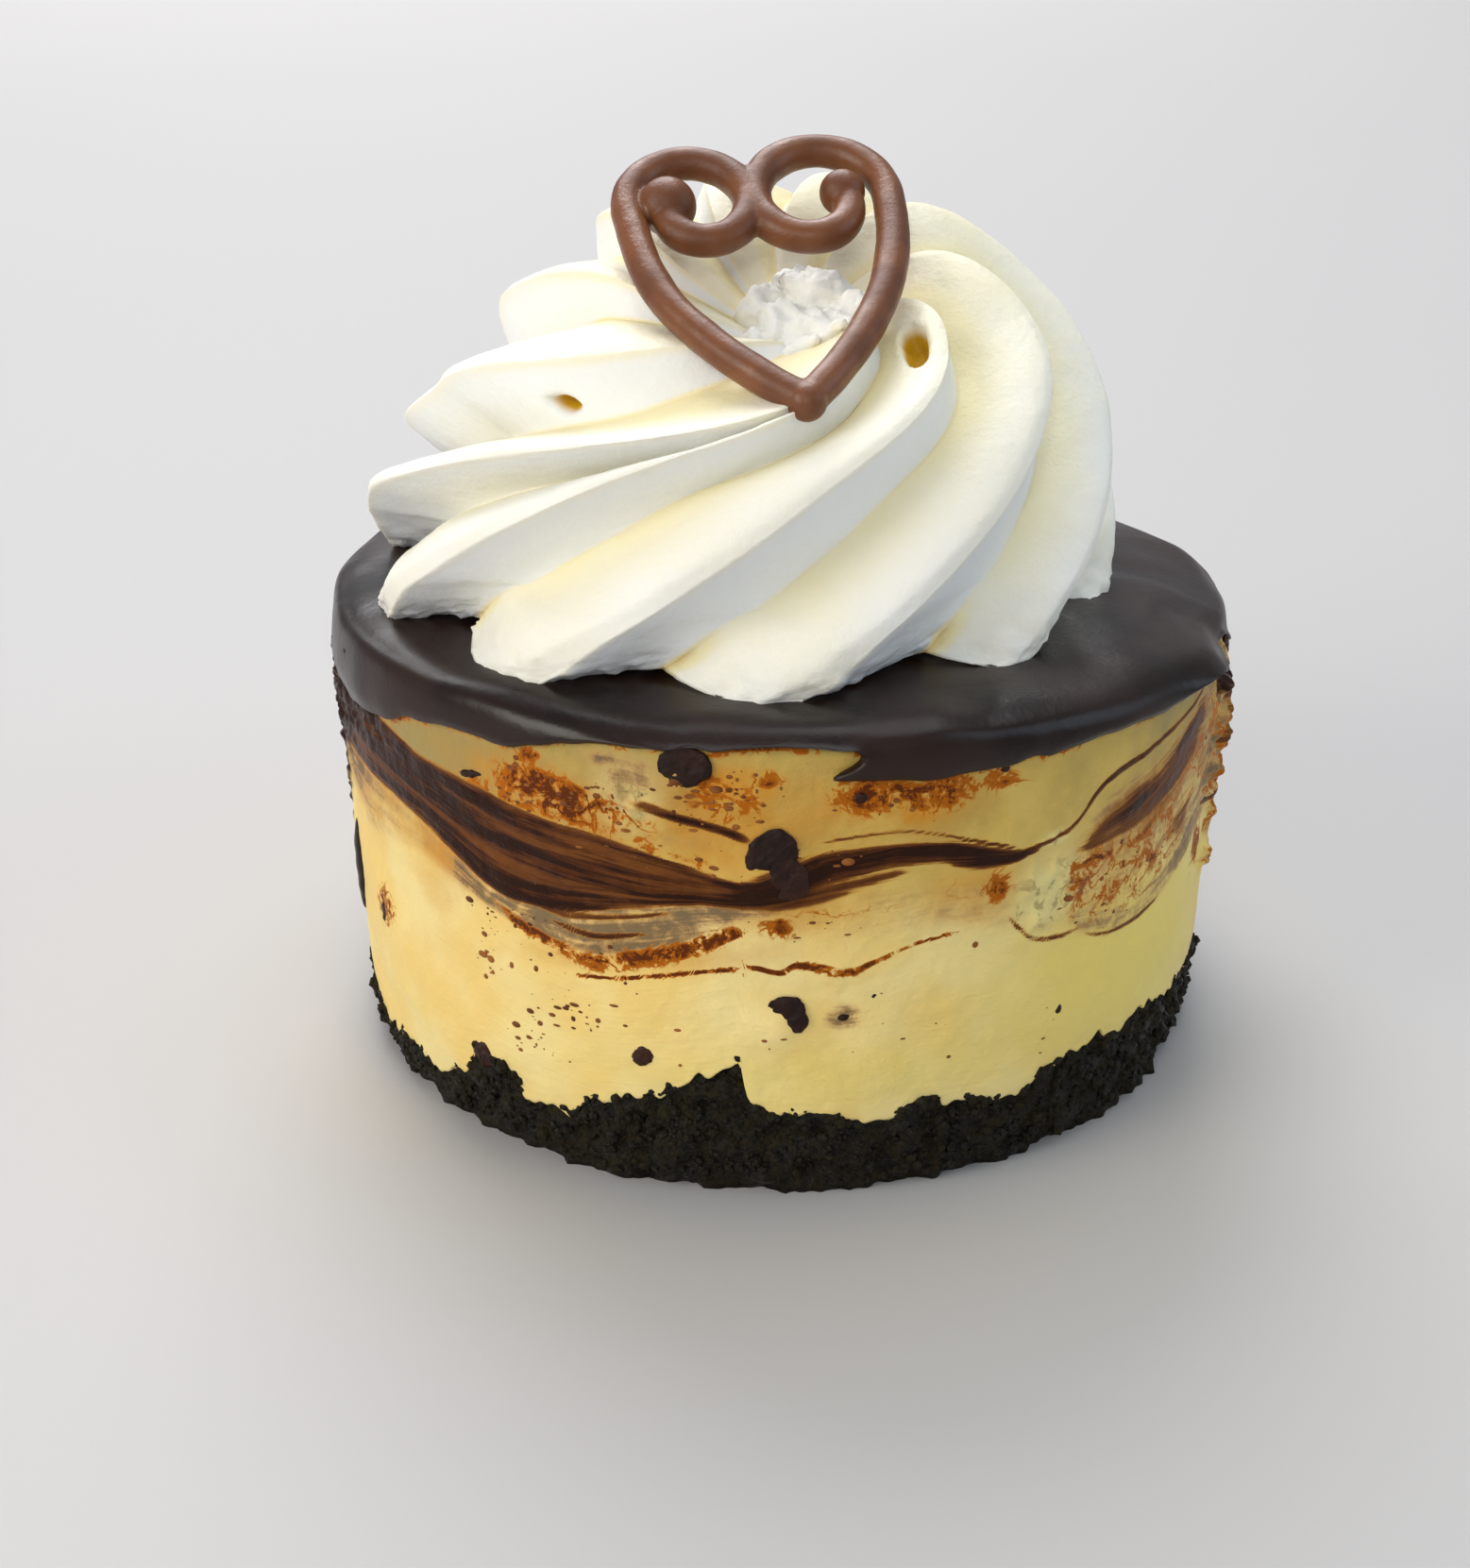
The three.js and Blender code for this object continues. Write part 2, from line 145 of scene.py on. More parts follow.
def clouds(points: Array, cell: float, seed: int, octaves: int = 1) -> Array:
    """Smooth repeatable noise.

    Args:
        points: Places in millimetres, with x, y and z in the last axis.
        cell: Size of the largest lumps in millimetres.
        seed: Tells one noise from another.
        octaves: How many times finer lumps of half the size and height are added.

    Returns:
        Heights from about -1 to 1.
    """
    total = np.zeros(points.shape[:-1])
    for octave in range(octaves):
        place = points * (2.0**octave / cell)
        base = np.floor(place)
        f = place - base
        f = f**3 * (f * (f * 6.0 - 15.0) + 10.0)
        for corner in product((0, 1), repeat=3):
            share = np.ones(f.shape[:-1])
            for axis, far in enumerate(corner):
                share = share * (f[..., axis] if far else 1.0 - f[..., axis])
            total += 0.5**octave * share * lattice(base + corner, seed + 17 * octave)
    return total


# ---- meshes
def new_object(name: str, data: bpy.types.ID) -> Object:
    """Adds an object to the scene.

    Args:
        name: The object's name.
        data: Its mesh, curve, lamp or camera.

    Returns:
        The object.
    """
    made = bpy.data.objects.new(name, data)
    bpy.context.scene.collection.objects.link(made)
    return made


def mesh_of(name: str, points: Array, faces: list[Array]) -> Mesh:
    """A smooth-shaded mesh.

    Args:
        name: The mesh's name.
        points: Corners in millimetres, one a row.
        faces: Arrays of corner numbers, each with one face a row.

    Returns:
        The mesh, in metres.
    """
    made = bpy.data.meshes.new(name)
    rows = [row for block in faces for row in block.tolist()]
    made.from_pydata((points * MM).tolist(), [], rows)
    made.shade_smooth()
    return made


def ring_mesh(name: str, rings: Array, under: Array, over: Array) -> Mesh:
    """A closed body of rings, from the middle of its underside out, up and in on top.

    Args:
        name: The mesh's name.
        rings: Points by ring, place round it and axis.
        under: The point that closes the underside.
        over: The point that closes the top.

    Returns:
        The mesh. Its corners are the rings' points in order, then the two poles.
    """
    count, around, _ = rings.shape
    i = np.arange(around)
    j = (i + 1) % around
    k = np.arange(count - 1)[:, None] * around
    sides = np.stack([k + i, k + j, k + around + j, k + around + i], -1).reshape(-1, 4)
    pole = np.full(around, count * around)
    top = (count - 1) * around
    floor = np.stack([pole, j, i], -1)
    roof = np.stack([top + i, top + j, pole + 1], -1)
    points = np.concatenate([rings.reshape(-1, 3), [under], [over]])
    return mesh_of(name, points, [sides, floor, roof])


def paint(mesh: Mesh, name: str, values: Array) -> None:
    """Stores a number or a vector for each ring point of a mesh, and nothing at its poles.

    Args:
        mesh: The mesh, as ring_mesh makes it.
        name: The attribute's name.
        values: By ring and place round it, and by axis for a vector.
    """
    is_vector = values.ndim == 3
    width = 3 if is_vector else 1
    flat = np.zeros(len(mesh.vertices) * width, np.float32)
    flat[: values.size] = values.reshape(-1)
    kind, key = ("FLOAT_VECTOR", "vector") if is_vector else ("FLOAT", "value")
    mesh.attributes.new(name, kind, "POINT").data.foreach_set(key, flat)


def lump_mesh(name: str, lumps: list[tuple[Array, Array]], finer: int) -> Mesh:
    """One mesh of several balls that are stretched and turned.

    Args:
        name: The mesh's name.
        lumps: For each ball its middle, and its three half axes as rows.
        finer: 1 for balls of 20 faces, and one more for four times as many.

    Returns:
        The mesh.
    """
    ball = bmesh.new()
    bmesh.ops.create_icosphere(ball, subdivisions=finer, radius=1.0)
    unit = np.array([v.co for v in ball.verts])
    faces = np.array([[v.index for v in f.verts] for f in ball.faces])
    ball.free()
    points = [middle + unit @ axes for middle, axes in lumps]
    blocks = [faces + k * len(unit) for k in range(len(lumps))]
    return mesh_of(name, np.concatenate(points), blocks)


def displace(mesh: Mesh, depth: float, cell: float, seed: int, octaves: int = 2) -> None:
    """Moves a mesh's corners along their normals by smooth noise.

    Args:
        mesh: The mesh.
        depth: How far it moves them, in millimetres.
        cell: Size of the largest lumps in millimetres.
        seed: Tells one noise from another.
        octaves: How many sizes of lumps there are.
    """
    count = len(mesh.vertices)
    points = np.zeros(count * 3, np.float32)
    normals = np.zeros(count * 3, np.float32)
    mesh.vertices.foreach_get("co", points)
    mesh.vertex_normals.foreach_get("vector", normals)
    places = points.reshape(-1, 3) / MM
    push = clouds(places, cell, seed, octaves)[:, None] * depth
    moved = (places + normals.reshape(-1, 3) * push) * MM
    mesh.vertices.foreach_set("co", moved.astype(np.float32).ravel())
    mesh.update()


# ---- node trees
class Wiring:
    """Adds nodes to one tree and links them."""

    def __init__(self, tree: bpy.types.NodeTree) -> None:
        """Takes the tree that the nodes go into."""
        self.tree = tree

    def node(self, kind: str, inputs: dict[Any, Any] | None = None, **settings: Any) -> bpy.types.Node:
        """Adds a node.

        Args:
            kind: The node's type name.
            inputs: Values or sockets for its inputs, by name or number.
            **settings: The node's own properties.

        Returns:
            The node.
        """
        made = self.tree.nodes.new(kind)
        for key, value in settings.items():
            setattr(made, key, value)
        for key, value in (inputs or {}).items():
            self.feed(self.socket(made, key), value)
        return made

    @staticmethod
    def socket(node: bpy.types.Node, key: int | str) -> Socket:
        """The node's input of that number, or the one in use of that name."""
        named = (s for s in node.inputs if s.name == key and s.enabled)
        return node.inputs[key] if isinstance(key, int) else next(named)

    def feed(self, socket: Socket, value: Any) -> None:
        """Fills one input.

        Args:
            socket: The input.
            value: A socket to link to it, or its value.
        """
        if isinstance(value, Socket):
            self.tree.links.new(value, socket)
        elif socket.type == "RGBA" and len(value) == 3:
            socket.default_value = (*value, 1.0)
        else:
            socket.default_value = value

    def out(self, kind: str, inputs: dict[Any, Any] | None = None, **settings: Any) -> Socket:
        """Adds a node and gives its first output in use."""
        made = self.node(kind, inputs, **settings)
        return next(s for s in made.outputs if s.enabled)

    def math(self, operation: str, a: Any, b: Any = 0.0, clamp: bool = False) -> Socket:
        """One sum of two numbers."""
        return self.out("ShaderNodeMath", {0: a, 1: b}, operation=operation, use_clamp=clamp)

    def times(self, a: Any, b: Any) -> Socket:
        """The product of two numbers."""
        return self.math("MULTIPLY", a, b)

    def scaled(self, vector: Any, factors: Sequence[float]) -> Socket:
        """A vector with each axis multiplied by its own factor."""
        return self.out("ShaderNodeVectorMath", {0: vector, 1: factors}, operation="MULTIPLY")

    def lengthened(self, vector: Any, factor: Any) -> Socket:
        """A vector with all its axes multiplied by one number."""
        return self.out("ShaderNodeVectorMath", {0: vector, "Scale": factor}, operation="SCALE")

    def random(self, low: Any, high: Any, seed: int) -> Socket:
        """A random number or vector for each point, in a geometry tree."""
        kind = "FLOAT" if isinstance(low, float) else "FLOAT_VECTOR"
        return self.out("FunctionNodeRandomValue", {"Min": low, "Max": high, "Seed": seed}, data_type=kind)

    def span(
        self, value: Any, low: float, high: float, to_low: float = 0.0, to_high: float = 1.0
    ) -> Socket:
        """A number's place between two limits, eased, on a new range."""
        inputs = {0: value, 1: low, 2: high, 3: to_low, 4: to_high}
        return self.out("ShaderNodeMapRange", inputs, interpolation_type="SMOOTHSTEP")

    def noise(
        self, vector: Any, scale: float, detail: float = 3.0, roughness: float = 0.55, twisted: float = 0.0
    ) -> Socket:
        """Soft noise from 0 to 1."""
        inputs = {"Vector": vector, "Scale": scale, "Detail": detail}
        return self.out("ShaderNodeTexNoise", {**inputs, "Roughness": roughness, "Distortion": twisted})

    def blend(self, share: Any, a: Any, b: Any) -> Socket:
        """A colour between two others."""
        return self.out("ShaderNodeMix", {0: share, 6: a, 7: b}, data_type="RGBA")

    def ramp(self, value: Any, stops: Sequence[tuple[float, Colour]]) -> Socket:
        """A colour ramp.

        Args:
            value: Where on the ramp each place is, from 0 to 1.
            stops: Places on it and their colours, from low to high.

        Returns:
            The colour.
        """
        made = self.node("ShaderNodeValToRGB", {0: value})
        elements = made.color_ramp.elements
        while len(elements) < len(stops):
            elements.new(0.5)
        for element, (place, colour) in zip(elements, stops):
            element.position = place
            element.color = (*colour, 1.0)
        return made.outputs[0]

    def attribute(self, name: str, output: str = "Fac") -> Socket:
        """What the mesh stores for each corner, in a material: a number, or its "Vector"."""
        return self.node("ShaderNodeAttribute", attribute_name=name).outputs[output]

    def stored(self, name: str, kind: str = "FLOAT") -> Socket:
        """What the mesh stores for each corner, in a geometry tree."""
        return self.out("GeometryNodeInputNamedAttribute", {"Name": name}, data_type=kind)


class Effect:
    """A shader effect shared by several finishes, as a node group that is built once."""

    made: ClassVar[dict[str, bpy.types.NodeTree]] = {}
    title: ClassVar[str] = ""
    inputs: ClassVar[dict[str, str]] = {}
    outputs: ClassVar[dict[str, str]] = {}

    @classmethod
    def tree(cls) -> bpy.types.NodeTree:
        """The effect's node group.

        Returns:
            The group, which the first call builds.
        """
        if cls.title not in Effect.made:
            group = bpy.data.node_groups.new(cls.title, "ShaderNodeTree")
            for name, kind in cls.inputs.items():
                group.interface.new_socket(name, in_out="INPUT", socket_type=kind)
            for name, kind in cls.outputs.items():
                group.interface.new_socket(name, in_out="OUTPUT", socket_type=kind)
            Effect.made[cls.title] = group
            wire = Wiring(group)
            given = wire.node("NodeGroupInput").outputs
            results = cls.lay(wire, given)
            wire.node("NodeGroupOutput", dict(enumerate(results)))
        return Effect.made[cls.title]

    @classmethod
    def lay(cls, wire: Wiring, given: Any) -> Sequence[Socket]:
        """Builds the group's nodes.

        Args:
            wire: The group's tree.
            given: The group's inputs by name.

        Returns:
            Its outputs in order.
        """
        raise NotImplementedError

    @classmethod
    def use(cls, wire: Wiring, **values: Any) -> list[Socket]:
        """Places the effect in a material.

        Args:
            wire: The material's tree.
            **values: The group's inputs, with underscores for blanks in their names.

        Returns:
            The group's outputs in order.
        """
        made = wire.tree.nodes.new("ShaderNodeGroup")
        made.node_tree = cls.tree()
        for name, value in values.items():
            wire.feed(made.inputs[name.replace("_", " ")], value)
        return list(made.outputs)


class Mottle(Effect):
    """Cloudy unevenness of two sizes, as a mask and as a height."""

    title = "Mottle"
    inputs = {"Vector": "NodeSocketVector", "Coarse": "NodeSocketFloat", "Fine": "NodeSocketFloat"}
    outputs = {"Mask": "NodeSocketFloat", "Height": "NodeSocketFloat"}

    @classmethod
    def lay(cls, wire: Wiring, given: Any) -> Sequence[Socket]:
        """Adds the coarse clouds to the fine grain."""
        coarse = wire.noise(given["Vector"], given["Coarse"], 2.0, 0.5)
        fine = wire.noise(given["Vector"], given["Fine"], 4.0, 0.65)
        mask = wire.span(coarse, 0.33, 0.67)
        return mask, wire.math("ADD", wire.times(coarse, 0.6), fine)


class Streaks(Effect):
    """Fine parallel streaks that follow a flow coordinate."""

    title = "Streaks"
    inputs = {"Flow": "NodeSocketVector", "Detail": "NodeSocketFloat"}
    outputs = {"Streak": "NodeSocketFloat", "Thread": "NodeSocketFloat"}

    @classmethod
    def lay(cls, wire: Wiring, given: Any) -> Sequence[Socket]:
        """Adds broad streaks and thin threads, both long along the flow."""
        broad = wire.noise(wire.scaled(given["Flow"], (60, 60, 820)), 1.0, given["Detail"], 0.6, 0.25)
        thin = wire.noise(wire.scaled(given["Flow"], (140, 140, 2800)), 1.0, 2.0, 0.6, 0.15)
        both = wire.math("ADD", wire.times(broad, 0.68), wire.times(thin, 0.32))
        return wire.span(both, 0.36, 0.64), wire.span(thin, 0.36, 0.64)


# ---- finishes
class Slot(Enum):
    """The record's material slots."""

    CRUMB = "crumb"
    FILLING = "filling"
    GLAZE = "glaze"
    CREAM = "cream"
    CHOCOLATE = "chocolate"


@dataclass(frozen=True)
class Finish:
    """A surface finish: the values that stay the same all over it."""

    title: str = "finish"
    roughness: float = 0.5
    specular: float = 0.5
    subsurface: float = 0.0
    subsurface_radius: Colour = (1.0, 0.8, 0.5)
    subsurface_depth: float = 2.0
    relief: float = 0.1

    def material(self) -> bpy.types.Material:
        """The finish as a material, made once.

        Returns:
            The material.
        """
        known = bpy.data.materials.get(self.title)
        if known:
            return known
        made = bpy.data.materials.new(self.title)
        made.use_nodes = True
        made.node_tree.nodes.clear()
        wire = Wiring(made.node_tree)
        place = wire.node("ShaderNodeTexCoord").outputs["Object"]
        colour, roughness, height = self.surface(wire, place)
        bumps = {"Strength": 1.0, "Distance": self.relief * MM, "Height": height}
        inputs = {
            "Base Color": colour,
            "Roughness": roughness,
            "Specular IOR Level": self.specular,
            "Subsurface Weight": self.subsurface,
            "Subsurface Radius": self.subsurface_radius,
            "Subsurface Scale": self.subsurface_depth * MM,
            "Normal": wire.out("ShaderNodeBump", bumps),
        }
        shader = wire.node("ShaderNodeBsdfPrincipled", inputs)
        wire.node("ShaderNodeOutputMaterial", {0: shader.outputs[0]})
        return made

    def surface(self, wire: Wiring, place: Socket) -> tuple[Any, Any, Any]:
        """What changes over the surface.

        Args:
            wire: The material's tree.
            place: Object coordinates.

        Returns:
            Sockets for colour, roughness and height.
        """
        raise NotImplementedError


@dataclass(frozen=True)
class CreamFinish(Finish):
    """Whipped cream: soft, slightly yellow, with a fine grain."""

    title: str = "whipped_cream"
    roughness: float = 0.45
    specular: float = 0.35
    subsurface: float = 0.12
    subsurface_radius: Colour = (1.0, 0.85, 0.55)
    subsurface_depth: float = 1.0
    relief: float = 0.09
    light: Colour = (0.92, 0.90, 0.83)
    # The yellow of the painted glow in the grooves.
    deep: Colour = (0.93, 0.83, 0.50)
    # The painted cool shade of the walls beyond the ridges' edges.
    painted_wall_shade: Colour = (0.90, 0.92, 0.93)
    # The painted golden glow in the pits and at the feet of the grooves.
    painted_pit_glow: Colour = (0.62, 0.36, 0.01)

    def surface(self, wire: Wiring, place: Socket) -> tuple[Any, Any, Any]:
        """Painted light and shade: a yellow glow where shade is above zero, a cool shade below, golden in
        pits.
        """
        mask, height = Mottle.use(wire, Vector=place, Coarse=120.0, Fine=1800.0)
        # The stored shade paints a yellow glow in the grooves where it is above zero, and a cool shade on the
        # walls where it is below.
        shade = wire.attribute("shade")
        yellow = wire.math("ADD", wire.times(mask, 0.2), shade, clamp=True)
        colour = wire.blend(yellow, self.light, self.deep)
        colour = wire.blend(wire.math("SUBTRACT", 0.0, shade, clamp=True), colour, self.painted_wall_shade)
        # A painted golden glow in the pits and at the feet of the grooves.
        pitted = wire.span(wire.attribute("pitted"), 0.1, 0.6)
        painted_glow = wire.math("ADD", wire.span(shade, 0.9, 2.4), pitted, clamp=True)
        colour = wire.blend(painted_glow, colour, self.painted_pit_glow)
        roughness = wire.span(mask, 0.0, 1.0, self.roughness - 0.05, self.roughness + 0.08)
        return colour, roughness, height


@dataclass(frozen=True)
class GlazeFinish(Finish):
    """Poured chocolate glaze: nearly black and glossy."""

    title: str = "chocolate_glaze"
    roughness: float = 0.25
    specular: float = 0.32
    relief: float = 0.04
    dark: Colour = (0.0080, 0.0034, 0.0018)
    thin: Colour = (0.019, 0.0062, 0.0030)

    def surface(self, wire: Wiring, place: Socket) -> tuple[Any, Any, Any]:
        """Glaze with slightly duller and browner patches."""
        mask, height = Mottle.use(wire, Vector=place, Coarse=90.0, Fine=900.0)
        colour = wire.blend(mask, self.dark, self.thin)
        roughness = wire.span(mask, 0.0, 1.0, self.roughness, self.roughness + 0.14)
        return colour, roughness, height


@dataclass(frozen=True)
class ChocolateFinish(Finish):
    """Piped chocolate with a satin skin."""

    title: str = "piped_chocolate"
    roughness: float = 0.34
    specular: float = 0.34
    relief: float = 0.05
    light: Colour = (0.20, 0.072, 0.028)
    deep: Colour = (0.135, 0.044, 0.016)

    def surface(self, wire: Wiring, place: Socket) -> tuple[Any, Any, Any]:
        """Chocolate with a faint cloudy bloom."""
        mask, height = Mottle.use(wire, Vector=place, Coarse=260.0, Fine=2400.0)
        colour = wire.blend(mask, self.light, self.deep)
        roughness = wire.span(mask, 0.0, 1.0, self.roughness - 0.05, self.roughness + 0.1)
        return colour, roughness, height


def torn_cream_finish() -> CreamFinish:
    """The torn end's cream with painted light: whiter, to offset the shadow the heart casts on it."""
    return CreamFinish("torn_cream", light=(0.96, 0.95, 0.90), deep=(0.95, 0.91, 0.74))


def chip_finish() -> ChocolateFinish:
    """The dark chocolate of the chips and specks."""
    light, deep = (0.040, 0.012, 0.006), (0.013, 0.0045, 0.003)
    return ChocolateFinish("dark_chip", roughness=0.42, specular=0.2, relief=0.12, light=light, deep=deep)


def speck_finish() -> ChocolateFinish:
    """The browner specks, which the filling has softened."""
    light, deep = (0.34, 0.115, 0.020), (0.11, 0.032, 0.008)
    return ChocolateFinish("brown_speck", roughness=0.5, specular=0.2, light=light, deep=deep)


@dataclass(frozen=True)
class CrumbFinish(Finish):
    """Pressed black cocoa crumbs, moist enough to glint."""

    title: str = "cocoa_crumb"
    specular: float = 0.22
    relief: float = 0.3
    dark: Colour = (0.0035, 0.0028, 0.0012)
    light: Colour = (0.026, 0.019, 0.0065)

    def surface(self, wire: Wiring, place: Socket) -> tuple[Any, Any, Any]:
        """Crumbs in uneven browns, some of them shiny."""
        mask, height = Mottle.use(wire, Vector=place, Coarse=700.0, Fine=2600.0)
        colour = wire.blend(wire.span(height, 0.62, 1.05), self.dark, self.light)
        roughness = wire.span(mask, 0.0, 1.0, 0.2, 0.9)
        return colour, roughness, height


@dataclass(frozen=True)
class MarbledFinish(Finish):
    """Baked cheesecake with chocolate swirled through it."""

    title: str = "marbled_filling"
    roughness: float = 0.44
    specular: float = 0.1
    subsurface: float = 0.1
    subsurface_radius: Colour = (1.0, 0.6, 0.2)
    subsurface_depth: float = 0.6
    relief: float = 0.1
    pale: Colour = (0.93, 0.755, 0.33)
    warm: Colour = (0.91, 0.665, 0.225)
    lemon: Colour = (0.86, 0.685, 0.18)
    # The colours of the painted shade towards the top: ochre, then the darker one where it is deepest.
    shade_ochre: Colour = (0.62, 0.435, 0.105)
    shade_dun: Colour = (0.37, 0.275, 0.095)
    amber: Colour = (0.62, 0.275, 0.03)
    rust: Colour = (0.43, 0.115, 0.003)
    umber: Colour = (0.12, 0.026, 0.003)
    tan: Colour = (0.185, 0.062, 0.012)
    brown: Colour = (0.095, 0.027, 0.0055)
    dark: Colour = (0.025, 0.0070, 0.0027)
    rose: Colour = (0.48, 0.265, 0.100)
    grey: Colour = (0.155, 0.100, 0.057)
    curd: Colour = (0.80, 0.68, 0.28)

    def surface(self, wire: Wiring, place: Socket) -> tuple[Any, Any, Any]:
        """Layers the marbling over the pale filling, from veils to the darkest streaks."""
        mask, height = Mottle.use(wire, Vector=place, Coarse=130.0, Fine=1500.0)
        streak, thread = Streaks.use(wire, Flow=wire.attribute("flow", "Vector"), Detail=4.0)
        ragged = wire.noise(place, 560.0, 6.0, 0.72, 0.5)
        colour = wire.blend(mask, self.pale, self.warm)
        colour = wire.blend(wire.attribute("lemon"), colour, self.lemon)
        # Painted shade makes the filling darker and more ochre towards the top and near the rim; amber round
        # the stains.
        soft = wire.noise(place, 170.0, 5.0, 0.62)
        baked = wire.times(wire.attribute("baked"), wire.span(soft, 0.3, 0.7, 0.8, 1.1))
        painted_shade_colour = wire.ramp(baked, ((0.6, self.shade_ochre), (1.0, self.shade_dun)))
        colour = wire.blend(wire.span(baked, 0.0, 0.75), colour, painted_shade_colour)
        glow = wire.times(wire.attribute("amber"), wire.span(soft, 0.34, 0.66, 0.3, 1.15))
        colour = wire.blend(wire.math("MULTIPLY", glow, 0.85, clamp=True), colour, self.amber)
        # Curd that shows crumbly and whiter, with painted shade darkening its pores.
        curd = wire.attribute("curd")
        colour = wire.blend(curd, colour, self.curd)
        pores = wire.times(wire.span(ragged, 0.47, 0.36), wire.span(curd, 0.3, 0.8))
        colour = wire.blend(wire.times(pores, 0.55), colour, self.shade_dun)
        # Thin chocolate under the surface turns the filling rosy, then grey.
        veil = wire.times(wire.attribute("veil"), wire.span(ragged, 0.33, 0.67, 0.45, 1.35))
        veil = wire.times(veil, wire.span(streak, 0.0, 1.0, 0.55, 1.3))
        veiled = wire.ramp(veil, ((0.3, self.rose), (0.9, self.grey)))
        colour = wire.blend(wire.times(wire.span(veil, 0.0, 0.6), 0.9), colour, veiled)
        # Rust stains with ragged edges, and thin branches where a noise crosses its middle.
        apart = wire.math("SUBTRACT", wire.noise(place, 300.0, 4.0, 0.6, 0.6), 0.5)
        branch = wire.span(wire.math("ABSOLUTE", apart), 0.05, 0.0)
        rust = wire.attribute("rust")
        solid = wire.times(wire.span(ragged, 0.38, 0.64, 0.0, 1.3), wire.span(rust, 0.35, 0.75))
        stain = wire.times(rust, wire.math("MAXIMUM", solid, branch))
        stain = wire.times(stain, wire.span(streak, 0.0, 1.0, 0.8, 1.2))
        stops = ((0.12, self.amber), (0.38, self.rust), (0.65, self.rust), (1.0, self.umber))
        colour = wire.blend(wire.span(stain, 0.0, 0.45), colour, wire.ramp(stain, stops))
        # Cocoa streaks, each with its amber fringe.
        cocoa = wire.times(wire.attribute("cocoa"), wire.span(streak, 0.0, 1.0, 0.6, 1.35))
        cocoa = wire.times(cocoa, wire.span(ragged, 0.3, 0.7, 0.85, 1.12))
        stops = ((0.12, self.amber), (0.34, self.tan), (0.62, self.brown), (1.0, self.dark))
        colour = wire.blend(wire.span(cocoa, 0.05, 0.34), colour, wire.ramp(cocoa, stops))
        # A film of glaze down the side.
        smear = wire.times(wire.attribute("smear"), wire.span(ragged, 0.3, 0.7, 0.6, 1.25))
        film = wire.span(smear, 0.25, 0.7)
        colour = wire.blend(film, colour, self.dark)
        # The chocolate is smoother than the filling, and lies a little proud.
        chocolate = wire.span(cocoa, 0.3, 0.8)
        roughness = wire.span(wire.math("MAXIMUM", chocolate, film), 0.0, 1.0, self.roughness, 0.28)
        height = wire.math("ADD", height, wire.times(thread, 0.12))
        height = wire.math("ADD", height, wire.times(chocolate, 0.5))
        return colour, roughness, wire.math("SUBTRACT", height, pores)


@dataclass(frozen=True)
class FloorFinish(Finish):
    """The plain pale studio floor."""

    title: str = "studio_floor"
    specular: float = 0.2
    relief: float = 0.02
    colour: Colour = (0.50, 0.484, 0.474)

    def surface(self, wire: Wiring, place: Socket) -> tuple[Any, Any, Any]:
        """One pale tone with a hardly visible unevenness."""
        mask, height = Mottle.use(wire, Vector=place, Coarse=2.0, Fine=400.0)
        dimmer = tuple(0.985 * c for c in self.colour)
        return wire.blend(mask, self.colour, dimmer), 0.6, height


